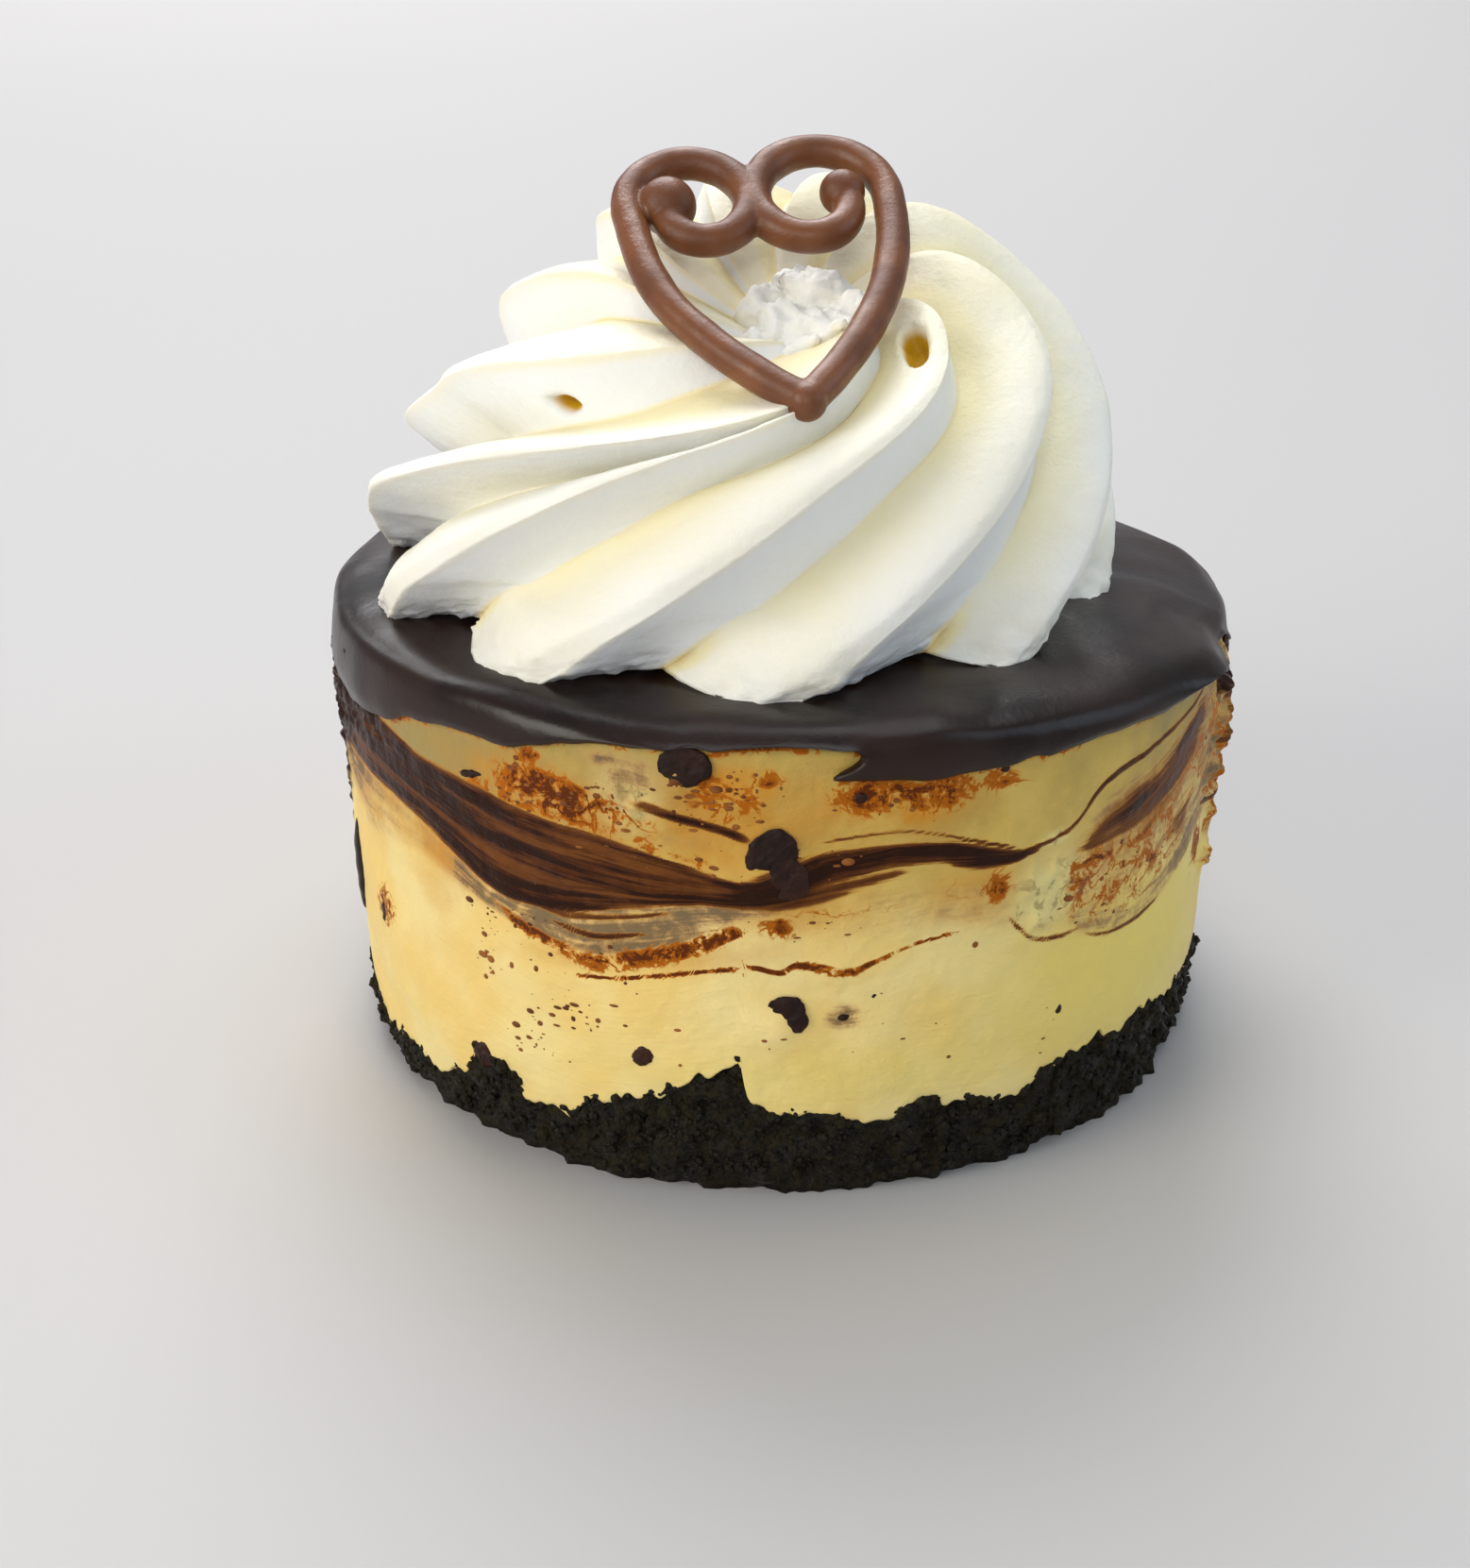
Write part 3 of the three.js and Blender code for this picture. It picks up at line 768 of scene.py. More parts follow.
# ---- the cake's form
@dataclass(frozen=True)
class CakeForm:
    """The laws of the cake's surfaces, in millimetres."""

    ring_radius: float = 38.1
    foot_radius: float = 37.2
    rim_radius: float = 38.7
    filling_height: float = 40.0
    crumb_height: float = 7.6
    crumb_core_height: float = 8.4
    glaze_thickness: float = 1.4
    gap: float = 0.3
    notch_at: float = 77.0
    notch_depth: float = 1.6
    # Crags of crumb that climb the side, and dips between them: front angle, rise, half width.
    crags: tuple = (
        (-66, -3.6, 26), (-39.3, 3.2, 2.6), (-31, -1.6, 7), (-18, 1.2, 4), (-11, 3.2, 4),
        (-7.4, 3.9, 2.7), (1.5, 1.3, 6), (17, 1.9, 3), (40, 2.2, 8), (55, 2.6, 8), (68, 1, 5),
    )
    # Where the crags of the back begin and end, and how many there are.
    back: tuple[float, float] = (84, 274)
    back_crags: int = 9
    # Chunks of chocolate that push the side out: front angle, height, size and relief.
    chunks: tuple = ((-2.2, 28.2, 3.0, 0.7), (-12.5, 36.2, 2.3, 0.6), (-1.5, 15.7, 2.0, 0.5))

    def side_radius(self, a: Array, z: Array) -> Array:
        """The plain side, which leans out a little from foot to rim."""
        straight = mix(self.foot_radius, self.ring_radius, smooth(z, -4, 14))
        return straight + (self.rim_radius - self.ring_radius) * smooth(z, 18, 34) + 0.18 * wave(a + 4 * z, 1)

    def crumb_edge(self, a: Array) -> Array:
        """Height of the crumb base at the side.

        Args:
            a: Front angles.

        Returns:
            The height at each, without the small crumbs.
        """
        height = self.crumb_height + 0.5 * wave(a, 2)
        for at, rise, width in self.crags:
            height = height + rise * bump(a, at, width)
        start, end = self.back
        for k in range(self.back_crags):
            at = start + (end - start) * ((k + 0.2 + 0.6 * grain(k, 1)) / self.back_crags)
            height = height + (0.8 + 2.8 * grain(k, 2)) * bump(a, at, 2.5 + 4 * grain(k, 3))
        return height

    def ragged_edge(self, a: Array) -> Array:
        """Height of the base's edge with its crumbs, the crags broken into steps.

        Args:
            a: Front angles.

        Returns:
            The height at each.
        """
        place = polar(a, self.ring_radius, 0.0)
        shifted = a + 2.6 * clouds(place, 2.6, 7) + 1.2 * clouds(place, 1.0, 8)
        return self.crumb_edge(shifted) + 0.7 * clouds(place, 2.4, 3) + 0.55 * clouds(place, 0.9, 4)

    def seam(self, a: Array, r: Array) -> Array:
        """Where crumb base and filling meet inside."""
        share = smooth(r, 0.55 * self.ring_radius, 0.97 * self.ring_radius)
        return mix(self.crumb_core_height, self.crumb_edge(a), share)

    def filling_top(self, a: Array, r: Array) -> Array:
        """Height of the filling's top, slumped towards the right and back edge.

        Args:
            a: Front angles.
            r: Radii.

        Returns:
            The height at each place.
        """
        slump = 0.2 + 2.6 * bump(a, 98, 48) + 1.5 * bump(a, 180, 52) + 0.3 * bump(a, -90, 40)
        fall = slump * smooth(r, 0.5 * self.rim_radius, self.rim_radius)
        return self.filling_height - fall - 0.2 * smooth(r, 0, 30)

    def glaze_top(self, a: Array, r: Array) -> Array:
        """The glaze's top."""
        return self.filling_top(a, r) + self.glaze_thickness

    def filling_side(self, a: Array, z: Array) -> Array:
        """The filling's side with its chunks, and the notch on the right.

        Args:
            a: Front angles.
            z: Heights.

        Returns:
            The radius at each place.
        """
        r = self.side_radius(a, z)
        for at, height, size, relief in self.chunks:
            along = np.radians(turn_between(a, at)) * self.ring_radius / size
            r = r + relief * np.exp(-(along**2) - ((z - height) / size) ** 2)
        r = r + 0.5 * bump(a, 80, 5) * smooth(z, 26, 33)
        return r - self.notch_depth * bump(a, self.notch_at, 9) * smooth(z, 32, 38)


def level_rings(
    a: Array, radius: float, shares: Sequence[float], law: Callable, lift: float = 0.0
) -> list[Array]:
    """Rings of points on one of the cake's level surfaces.

    Args:
        a: Front angles of each ring's points.
        radius: The largest radius there could be.
        shares: How much of it each ring's radius is.
        law: Gives the surface's height from front angles and a radius.
        lift: How far above the surface the rings lie.

    Returns:
        The points of each ring.
    """
    return [polar(a, share * radius, law(a, share * radius) + lift) for share in shares]


# ---- pieces
@dataclass
class Piece:
    """A visible piece of the cake."""

    form: CakeForm = field(default_factory=CakeForm)
    name: ClassVar[str] = ""
    slot: ClassVar[Slot] = Slot.FILLING
    finish: ClassVar[Finish] = Finish()
    stands_for: ClassVar[tuple[str, ...]] = ()

    def build(self) -> Object:
        """Makes the piece's mesh in place.

        Returns:
            The object that holds it.
        """
        raise NotImplementedError

    def dress(self, made: Object) -> None:
        """Gives the piece its finish all over."""
        wear(made, self.finish)

    def place(self) -> Object:
        """Builds and dresses the piece and joins it to the frame.

        Returns:
            The finished object.
        """
        made = self.build()
        self.dress(made)
        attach(made, BODY)
        if self.stands_for:
            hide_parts(*self.stands_for)
        triangles = sum(len(p.vertices) - 2 for p in made.data.polygons)
        size = " x ".join(f"{x / MM:.1f}" for x in made.dimensions)
        log.info("%s: %d triangles, %s mm", self.name, triangles, size)
        return made


def wear(made: Object, finish: Finish) -> None:
    """Gives a piece one finish all over."""
    made.data.materials.clear()
    made.data.materials.append(finish.material())


class GeometryTree:
    """A Geometry Nodes tree with named inputs, and how it runs on an object."""

    kinds: ClassVar[dict[type, str]] = {
        float: "NodeSocketFloat",
        int: "NodeSocketInt",
        bpy.types.Material: "NodeSocketMaterial",
    }

    def __init__(self, title: str, inputs: dict[str, Any]) -> None:
        """Makes the empty tree.

        Args:
            title: The tree's name.
            inputs: The value of each named input.
        """
        self.group = bpy.data.node_groups.new(title, "GeometryNodeTree")
        interface = self.group.interface
        interface.new_socket("Geometry", in_out="INPUT", socket_type="NodeSocketGeometry")
        self.values = {}
        for name, value in inputs.items():
            kind = self.kinds[type(value)]
            socket = interface.new_socket(name, in_out="INPUT", socket_type=kind)
            self.values[socket.identifier] = value
        interface.new_socket("Geometry", in_out="OUTPUT", socket_type="NodeSocketGeometry")
        self.wire = Wiring(self.group)
        self.given = self.wire.node("NodeGroupInput").outputs

    def close(self, geometry: Socket, material: Socket) -> None:
        """Ends the tree.

        Args:
            geometry: What it makes. Its instances are made real.
            material: The material that all of it gets.
        """
        real = self.wire.out("GeometryNodeRealizeInstances", {0: geometry})
        dressed = self.wire.out("GeometryNodeSetMaterial", {"Geometry": real, "Material": material})
        self.wire.node("NodeGroupOutput", {0: dressed})

    def run(self, made: Object) -> Object:
        """Turns an object into a plain mesh of what the tree makes of it.

        Args:
            made: The object that the tree works on.

        Returns:
            A mesh object of the same name.
        """
        modifier = made.modifiers.new(self.group.name, "NODES")
        modifier.node_group = self.group
        for identifier, value in self.values.items():
            modifier[identifier] = value
        return baked(made)


def baked(made: Object) -> Object:
    """Turns an object with modifiers into a plain mesh.

    Args:
        made: The object, which is taken out of the scene.

    Returns:
        A mesh object of its evaluated shape and the same name.
    """
    graph = bpy.context.evaluated_depsgraph_get()
    mesh = bpy.data.meshes.new_from_object(made.evaluated_get(graph), depsgraph=graph)
    name = made.name
    bpy.data.objects.remove(made)
    mesh.name = name
    mesh.shade_smooth()
    return new_object(name, mesh)


def melted(made: Object, voxel: float, softening: int) -> Object:
    """Melts shapes that run into each other into one skin.

    Args:
        made: The object that holds them.
        voxel: Size of the finest detail that stays, in millimetres.
        softening: How many times the skin is smoothed.

    Returns:
        A plain mesh object of the same name.
    """
    remesh = made.modifiers.new("melt", "REMESH")
    remesh.mode = "VOXEL"
    remesh.voxel_size = voxel * MM
    soften = made.modifiers.new("soften", "SMOOTH")
    soften.iterations = softening
    return baked(made)


@dataclass
class CrumbBase(Piece):
    """The pressed crumb base, rough all round."""

    name = "crumb_base_pressed"
    slot = Slot.CRUMB
    finish = CrumbFinish()
    stands_for = ("crumb_base",)
    around: int = 640
    side_rows: int = 30
    foot_rows: int = 3  # of the side's, too low for loose crumbs
    roughness: float = 0.55

    def build(self) -> Object:
        """Rings from the underside up the rough side to the seam under the filling."""
        form = self.form
        a = np.arange(self.around) * 360.0 / self.around
        edge = form.ragged_edge(a)
        rings = [polar(a, share * form.foot_radius, 0.0) for share in (0.3, 0.6, 0.85, 0.94)]
        bottom = len(rings)
        for k in range(self.side_rows):
            share = (k / (self.side_rows - 1)) ** 0.9
            z = share * edge
            place = polar(a, form.side_radius(a, z), z)
            rough = clouds(place, 1.9, 5, 3) - 0.5 * smooth(z, 1.4, 0.0) * (1 + clouds(place, 1.1, 6))
            out = 0.12 - 0.45 * smooth(share, 0.93, 1.0)
            r = form.side_radius(a, z) + out + self.roughness * (rough - 0.45)
            rings.append(polar(a, r, np.maximum(z, 0.0)))
        rings.append(polar(a, form.ring_radius - 1.6, np.minimum(edge, form.crumb_edge(a)) - 0.6))
        rings += level_rings(a, form.ring_radius, (0.85, 0.6, 0.3), form.seam, -0.2)
        top = np.array([0, 0, form.crumb_core_height - 0.2])
        mesh = ring_mesh(self.name, np.stack(rings), np.zeros(3), top)
        crumbly = np.zeros((len(rings), self.around))
        crumbly[bottom + self.foot_rows : bottom + self.side_rows] = 1.0
        paint(mesh, "crumbly", crumbly)
        return new_object(self.name, mesh)


@dataclass
class Scattered(Piece):
    """Small lumps strewn over another piece, most of them near the smallest size."""

    tree_title: ClassVar[str] = ""
    # Random seeds of the places, the sizes and the stretching.
    seeds: ClassVar[tuple[int, int, int]] = (0, 0, 0)
    host: Object | None = None
    per_square_mm: float = 2.0
    smallest: float = 0.1
    largest: float = 0.5
    rarity: float = 3.0  # the power that makes large lumps rare
    least_stretch: Triple = (1.0, 1.0, 1.0)
    most_stretch: Triple = (1.0, 1.0, 1.0)

    def tree(self, **more: Any) -> GeometryTree:
        """Starts the tree that strews the lumps.

        Args:
            **more: The value of each input besides the usual ones.

        Returns:
            The tree, with its inputs alone.
        """
        inputs = {
            "Density": self.per_square_mm / MM**2,
            "Smallest": self.smallest * MM,
            "Largest": self.largest * MM,
            "Seed": self.seeds[0],
            "Material": self.finish.material(),
        }
        return GeometryTree(self.tree_title, inputs | more)

    def strewn(self, tree: GeometryTree, where: dict[str, Any], turn: Any, finer: int) -> Socket:
        """Strews balls of random size and stretch over the host.

        Args:
            tree: The tree that does it.
            where: The selection or the density that says where they lie.
            turn: Their rotation, or None where they lie flat on the host.
            finer: 1 for balls of 20 faces, and one more for four times as many.

        Returns:
            The balls, as instances.
        """
        wire, given = tree.wire, tree.given
        inputs = {"Mesh": given["Geometry"], "Density": given["Density"], "Seed": given["Seed"]} | where
        spread = wire.node("GeometryNodeDistributePointsOnFaces", inputs, distribute_method="RANDOM")
        share = wire.math("POWER", wire.random(0.0, 1.0, self.seeds[1]), self.rarity)
        sizes = {0: share, 2: given["Smallest"], 3: given["Largest"]}
        size = wire.out("ShaderNodeMix", sizes, data_type="FLOAT")
        stretch = wire.random(self.least_stretch, self.most_stretch, self.seeds[2])
        placed = {
            "Points": spread.outputs["Points"],
            "Instance": wire.out("GeometryNodeMeshIcoSphere", {"Radius": 1.0, "Subdivisions": finer}),
            "Rotation": spread.outputs["Rotation"] if turn is None else turn,
            "Scale": wire.lengthened(stretch, size),
        }
        return wire.out("GeometryNodeInstanceOnPoints", placed)


@dataclass
class Crumbs(Scattered):
    """Single crumbs that stand out of the base's side."""

    name = "cocoa_crumbs"
    slot = Slot.CRUMB
    tree_title = "ScatterCrumbs"
    finish = CrumbFinish()
    seeds = (11, 5, 7)
    turn_seed: ClassVar[int] = 3
    per_square_mm: float = 2.2
    smallest: float = 0.14
    largest: float = 0.62
    rarity: float = 3.5
    least_stretch: Triple = (0.7, 0.7, 0.7)
    most_stretch: Triple = (1.25, 1.25, 1.25)
    raggedness: float = 0.22
    clearance: float = 0.12

    def build(self) -> Object:
        """Scatters angular lumps over the base's side."""
        tree = self.tree(Raggedness=self.raggedness * MM)
        wire, given = tree.wire, tree.given
        turn = wire.random((0.0, 0.0, 0.0), (FULL_TURN, FULL_TURN, FULL_TURN), self.turn_seed)
        crumbs = self.strewn(tree, {"Selection": wire.stored("crumbly")}, turn, 1)
        real = self.grounded(wire, wire.out("GeometryNodeRealizeInstances", {0: crumbs}))
        ragged = wire.out("ShaderNodeTexNoise", {"Scale": 1500.0, "Detail": 1.0})
        push = wire.times(wire.math("SUBTRACT", ragged, 0.5), given["Raggedness"])
        offset = wire.lengthened(wire.out("GeometryNodeInputNormal"), push)
        moved = wire.out("GeometryNodeSetPosition", {"Geometry": real, "Offset": offset})
        tree.close(moved, given["Material"])
        return tree.run(new_object(self.name, self.host.data.copy()))

    def grounded(self, wire: Wiring, geometry: Socket) -> Socket:
        """Lifts what would lie under the floor.

        Args:
            wire: The tree.
            geometry: The crumbs.

        Returns:
            The crumbs, all clear of the floor.
        """
        place = wire.out("GeometryNodeInputPosition")
        least = (-1.0, -1.0, self.clearance * MM)
        lifted = wire.out("ShaderNodeVectorMath", {0: place, 1: least}, operation="MAXIMUM")
        return wire.out("GeometryNodeSetPosition", {"Geometry": geometry, "Position": lifted})

    def dress(self, made: Object) -> None:
        """Dresses the crumbs. Their faces stay flat, as where a crumb is broken."""
        super().dress(made)
        made.data.shade_flat()


def along(path: Sequence[tuple[float, ...]], a: Array) -> list[Array]:
    """What a path that lists front angles says at each place, smoothly.

    Args:
        path: Rows of a front angle and what holds there, from left to right.
        a: Front angles.

    Returns:
        First the share of the path's ends, then each further column at every place.
    """
    known = np.array(path, float)
    start, end = known[0, 0], known[-1, 0]
    spare = 180.0 - 0.5 * (end - start)
    here = start - spare + (a - start + spare) % 360.0
    t = np.linspace(0.0, 1.0, 8 * len(known))
    angle = spline(known[:, 0], t)
    ends = smooth(here, start - 1.0, start + 3.0) * (1.0 - smooth(here, end - 3.0, end + 1.0))
    return [ends, *(np.interp(here, angle, spline(column, t)) for column in known[:, 1:].T)]


class Mark:
    """Something in the filling's side that shows in some places and fades out round them."""

    def field(self, a: Array, z: Array) -> Array:
        """How strongly the mark shows.

        Args:
            a: Front angles.
            z: Heights in millimetres.

        Returns:
            The strength at each place, 0 where nothing shows.
        """
        raise NotImplementedError


@dataclass(frozen=True)
class Vein(Mark):
    """A streak in the side.

    Its path lists front angle, height and half width. Strength says how dark it is, and
    sharpness how suddenly it ends.
    """

    path: tuple[Triple, ...]
    strength: float = 1.0
    sharpness: float = 2.4

    def field(self, a: Array, z: Array) -> Array:
        """How strongly the streak shows at each place."""
        ends, middle, width = along(self.path, a)
        _, after, _ = along(self.path, a + 0.5)
        lean = 1.0 / np.sqrt(1.0 + ((after - middle) / 0.33) ** 2)
        away = np.abs(z - middle) * np.maximum(lean, 0.3) / np.maximum(width, 0.05)
        return self.strength * ends * np.exp(-(away**self.sharpness))


@dataclass(frozen=True)
class Band(Mark):
    """A stretch of the side between a lower and an upper edge.

    Its path lists front angle, lower height and upper height.
    """

    path: tuple[Triple, ...]
    strength: float = 1.0
    soft: float = 0.5

    def field(self, a: Array, z: Array) -> Array:
        """How strongly the band shows at each place."""
        ends, low, high = along(self.path, a)
        above = smooth((z - low) / self.soft, -1.0, 1.0)
        below = smooth((high - z) / self.soft, -1.0, 1.0)
        return self.strength * ends * above * below


@dataclass(frozen=True)
class Patch(Mark):
    """A round patch: front angle, height, half width, half height, strength and lean."""

    at: float
    height: float
    wide: float
    tall: float
    strength: float = 1.0
    lean: float = 0.0

    def field(self, a: Array, z: Array) -> Array:
        """How strongly the patch shows at each place."""
        x = turn_between(a, self.at) * math.radians(CakeForm.ring_radius)
        y = z - self.height - x * math.tan(math.radians(self.lean))
        return self.strength * np.exp(-(((x / self.wide) ** 2 + (y / self.tall) ** 2) ** 1.4))


COCOA = (
    # The broad brown band on the left, its dark upper edge, middle and lower edge.
    Band(((-90, 27.5, 37.5), (-70, 28.4, 36.4), (-59, 28.1, 34.4), (-49, 27.3, 33.1), (-43, 25.8, 32.9),
        (-38, 24.1, 32.4), (-33, 23.6, 31.8), (-26, 24, 31.1), (-20, 24.9, 30.7), (-12, 26, 29.2),
        (-5, 26.4, 28.3), (3, 27.6, 29)), 0.72),
    Vein(((-86, 36.4, 1.4), (-66, 34.6, 1.3), (-57, 33.4, 1.1), (-50, 32.3, 0.9), (-42, 31.9, 0.9),
        (-35, 31.4, 0.65), (-29, 31, 0.4), (-22, 30.6, 0.3), (-15, 29.6, 0.3), (-9, 28.5, 0.3),
        (-4, 27.9, 0.4)), 0.95),
    Vein(((-82, 33.6, 1.1), (-66, 32, 1.1), (-57, 30.9, 1), (-50, 30.2, 0.95), (-44, 29.6, 0.95),
        (-37, 28.3, 0.85), (-31, 27.7, 0.75), (-24, 27.3, 0.6), (-15, 26.8, 0.5), (-6, 26.8, 0.6),
        (-1, 27.7, 0.9), (4, 29, 1)), 1.05, 2.8),
    Vein(((-70, 29.2, 0.35), (-59, 28.7, 0.3), (-49, 27.8, 0.3), (-43, 26.4, 0.35), (-38, 24.7, 0.45),
        (-33, 23.9, 0.4), (-26, 24.1, 0.25), (-20, 24.9, 0.2))),
    Vein(((-62, 30.6, 0.3), (-52, 28.9, 0.3), (-45, 27.9, 0.3), (-40, 26.3, 0.35), (-34, 25.2, 0.35),
        (-27, 25.2, 0.3), (-18, 25.8, 0.25), (-9, 26.3, 0.3)), 0.8),
    # The thin line above the band, and the darker one that leaves the big chip to the right.
    Vein(((-18, 34.2, 0.3), (-15, 33.9, 0.4), (-11, 33.1, 0.35), (-7, 32.4, 0.3), (-4, 31.6, 0.4)), 0.9),
    Vein(((-8, 26.8, 0.7), (-2, 28, 1.2), (3, 29.2, 1.2), (8, 29.8, 0.95), (11, 30.1, 0.8), (17, 30, 0.75),
        (20, 29.4, 0.85), (23, 28.9, 0.75), (27, 28.6, 0.35), (30, 28.9, 0.15)), 1.4, 3),
    Vein(((-4, 26.3, 0.7), (3, 27.3, 0.8), (8, 28.2, 0.6), (14, 28.9, 0.4)), 0.5),
    Vein(((3, 31.5, 0.13), (11, 32.2, 0.16), (16, 31.7, 0.14), (21, 30.6, 0.14), (27, 29.2, 0.12)), 0.65),
    Vein(((27, 28.9, 0.16), (34, 29.7, 0.2), (38, 31.9, 0.24), (41, 32.9, 0.26), (47, 33.6, 0.22),
        (54, 34.6, 0.24), (63, 36.6, 0.3)), 0.78),
    Vein(((35, 27.4, 0.4), (42, 28.7, 1.2), (48, 29.4, 1.7), (53, 30.2, 1.9), (58, 31.8, 1.8), (63, 34, 1.4)),
        0.66, 1.3),
    Patch(45, 29.4, 2.4, 1.2, 0.8, 24),
    Patch(57, 32.6, 2.6, 1.2, 0.75, 34),
    Patch(58, 25.5, 2.6, 2.2, 0.3, 30),
    # Dark blotches in the grey veil, and the thin lines round the curd.
    Vein(((-33, 24.4, 0.2), (-27, 23.4, 0.3), (-20, 24, 0.22), (-13, 25.2, 0.15)), 0.75),
    Vein(((-29, 22.6, 0.12), (-23, 22, 0.22), (-16, 23, 0.12)), 0.7),
    Vein(((25, 24.4, 0.1), (27, 22.6, 0.18), (29, 21.2, 0.18), (31, 20.4, 0.2), (35, 20.2, 0.2),
        (38, 20.4, 0.15)), 0.42),
    Vein(((37, 20, 0.1), (41, 18.9, 0.16), (48, 18.5, 0.2), (55, 19.4, 0.12)), 0.42),
    # Round the back.
    Band(((70, 29, 34.8), (78, 28.6, 34.2), (92, 27.4, 32.2), (108, 27, 31), (126, 28.4, 31.6),
        (142, 28.8, 33.4), (158, 26.6, 32.4), (176, 25, 30.2), (194, 26.4, 30), (214, 28.4, 32.6),
        (236, 30.2, 35.2), (256, 30, 36.2), (282, 28.4, 37.2)), 0.44, 0.4),
    Vein(((68, 35, 0.4), (78, 33.6, 0.9), (92, 31.2, 1.2), (108, 29.8, 1.2), (126, 30.4, 0.8), (142, 32, 1),
        (158, 31.2, 1.3), (176, 28.8, 1.3), (194, 28.4, 0.9), (214, 31, 0.9), (236, 33.8, 1.2),
        (256, 34.6, 1.3), (282, 36.4, 1.3)), 1.1, 2.8),
    Vein(((70, 28.8, 0.3), (90, 27.6, 0.5), (108, 26.8, 0.6), (128, 27.8, 0.4), (148, 28.2, 0.5),
        (170, 25.4, 0.7), (190, 25.8, 0.4), (212, 28, 0.5), (236, 30.2, 0.8), (262, 31.2, 0.7),
        (284, 31.8, 0.5)), 0.95),
    Vein(((66, 24, 0.25), (88, 21.6, 0.25), (106, 20.6, 0.25), (128, 22, 0.2), (150, 21.6, 0.25),
        (176, 19.4, 0.25), (200, 20.8, 0.2), (226, 23, 0.25), (250, 24, 0.25), (276, 24.4, 0.25)), 0.6),
)

RUST = (
    # The orange line along the foot of the grey veil.
    Vein(((-37, 22.8, 0.3), (-32, 21.2, 0.55), (-28, 20.4, 0.6), (-23, 19.7, 0.75), (-18, 20.6, 0.85),
        (-13, 21.6, 0.8), (-9, 22.9, 0.8), (-6, 23.9, 0.6), (-3, 25, 0.4)), 1.05, 3),
    # Along the band's top, and the thin lines under it all.
    Vein(((-42, 32.9, 0.7), (-33, 32.3, 1.2), (-24, 31.8, 1.3), (-16, 30.6, 0.9), (-8, 29.3, 0.5)), 0.6, 1.6),
    Vein(((-27, 18.1, 0.15), (-20, 18.7, 0.15), (-14, 19.6, 0.18), (-8, 20.4, 0.18), (-4, 20.8, 0.25),
        (-1, 20.4, 0.28), (1, 21.1, 0.32), (4, 20.8, 0.42), (7, 20.4, 0.36), (10, 21.2, 0.25),
        (15, 22.4, 0.15), (21, 23, 0.1)), 1.3, 3),
    Patch(-1, 24.6, 1.6, 1, 0.9),
    Patch(4, 25.6, 2.6, 0.5, 0.45, -4),
    Patch(10, 25.8, 2, 0.6, 0.3),
    # The orange above the band, and under the glaze.
    Patch(-27, 33.7, 4.8, 1.7, 1.4, -8),
    Patch(-31, 34.6, 2, 1.2, 0.8, 20),
    Patch(-30, 36.5, 1.3, 1, 0.8),
    Patch(-19, 32.6, 3, 0.9, 0.8, -8),
    Patch(-7, 34.6, 3, 1.7, 0.75),
    Patch(-2.5, 36.6, 1.3, 0.9, 0.7),
    Patch(-9, 36.4, 1, 1, 0.8),
    Patch(9.5, 35.4, 3.4, 1.7, 1.15, -4),
    Patch(16.5, 35, 3.4, 1.6, 1, 4),
    Patch(24.5, 35.2, 2.2, 1.2, 0.7),
    # Round the curd and in the tan veil on the right.
    Patch(24.4, 26, 1.3, 1.9, 0.8),
    Patch(20.5, 26.6, 2.4, 1, 0.35),
    Vein(((33, 23.4, 0.7), (34.5, 25.6, 0.8), (36, 26.4, 0.6), (40, 26.2, 0.35), (46, 26.2, 0.35),
        (53, 27.9, 0.4), (61, 30.4, 0.5)), 0.85),
    Band(((34, 21.6, 27.2), (38, 20.6, 28), (44, 20.2, 29), (52, 21, 31), (60, 23.6, 34), (70, 27, 36.6)),
        0.48, 1),
    Patch(36, 24.4, 1.4, 1.6, 0.8),
    Patch(42, 22.4, 1.6, 1.4, 0.8),
    Patch(49, 23.6, 1.6, 1.6, 0.7),
    Patch(63, 37.2, 3.4, 1.2, 0.6),
    Patch(66, 20.5, 1.4, 2.4, 0.95),
    Patch(76, 31, 4, 5.5, 0.6),
    Patch(-61, 16, 1.5, 2, 1.1),
    # Round the back.
    Vein(((66, 25, 0.5), (88, 22.8, 0.6), (106, 21.8, 0.7), (128, 23.2, 0.5), (150, 23, 0.7),
        (176, 20.6, 0.8), (200, 22, 0.5), (226, 24.2, 0.6), (250, 25.2, 0.6), (276, 25.6, 0.6)), 0.8),
    Patch(104, 34, 3.4, 1.3, 0.8),
    Patch(134, 35.6, 3, 1, 0.8),
    Patch(166, 34.4, 3.6, 1.4, 0.9),
    Patch(206, 35, 3, 1.2, 0.8),
)

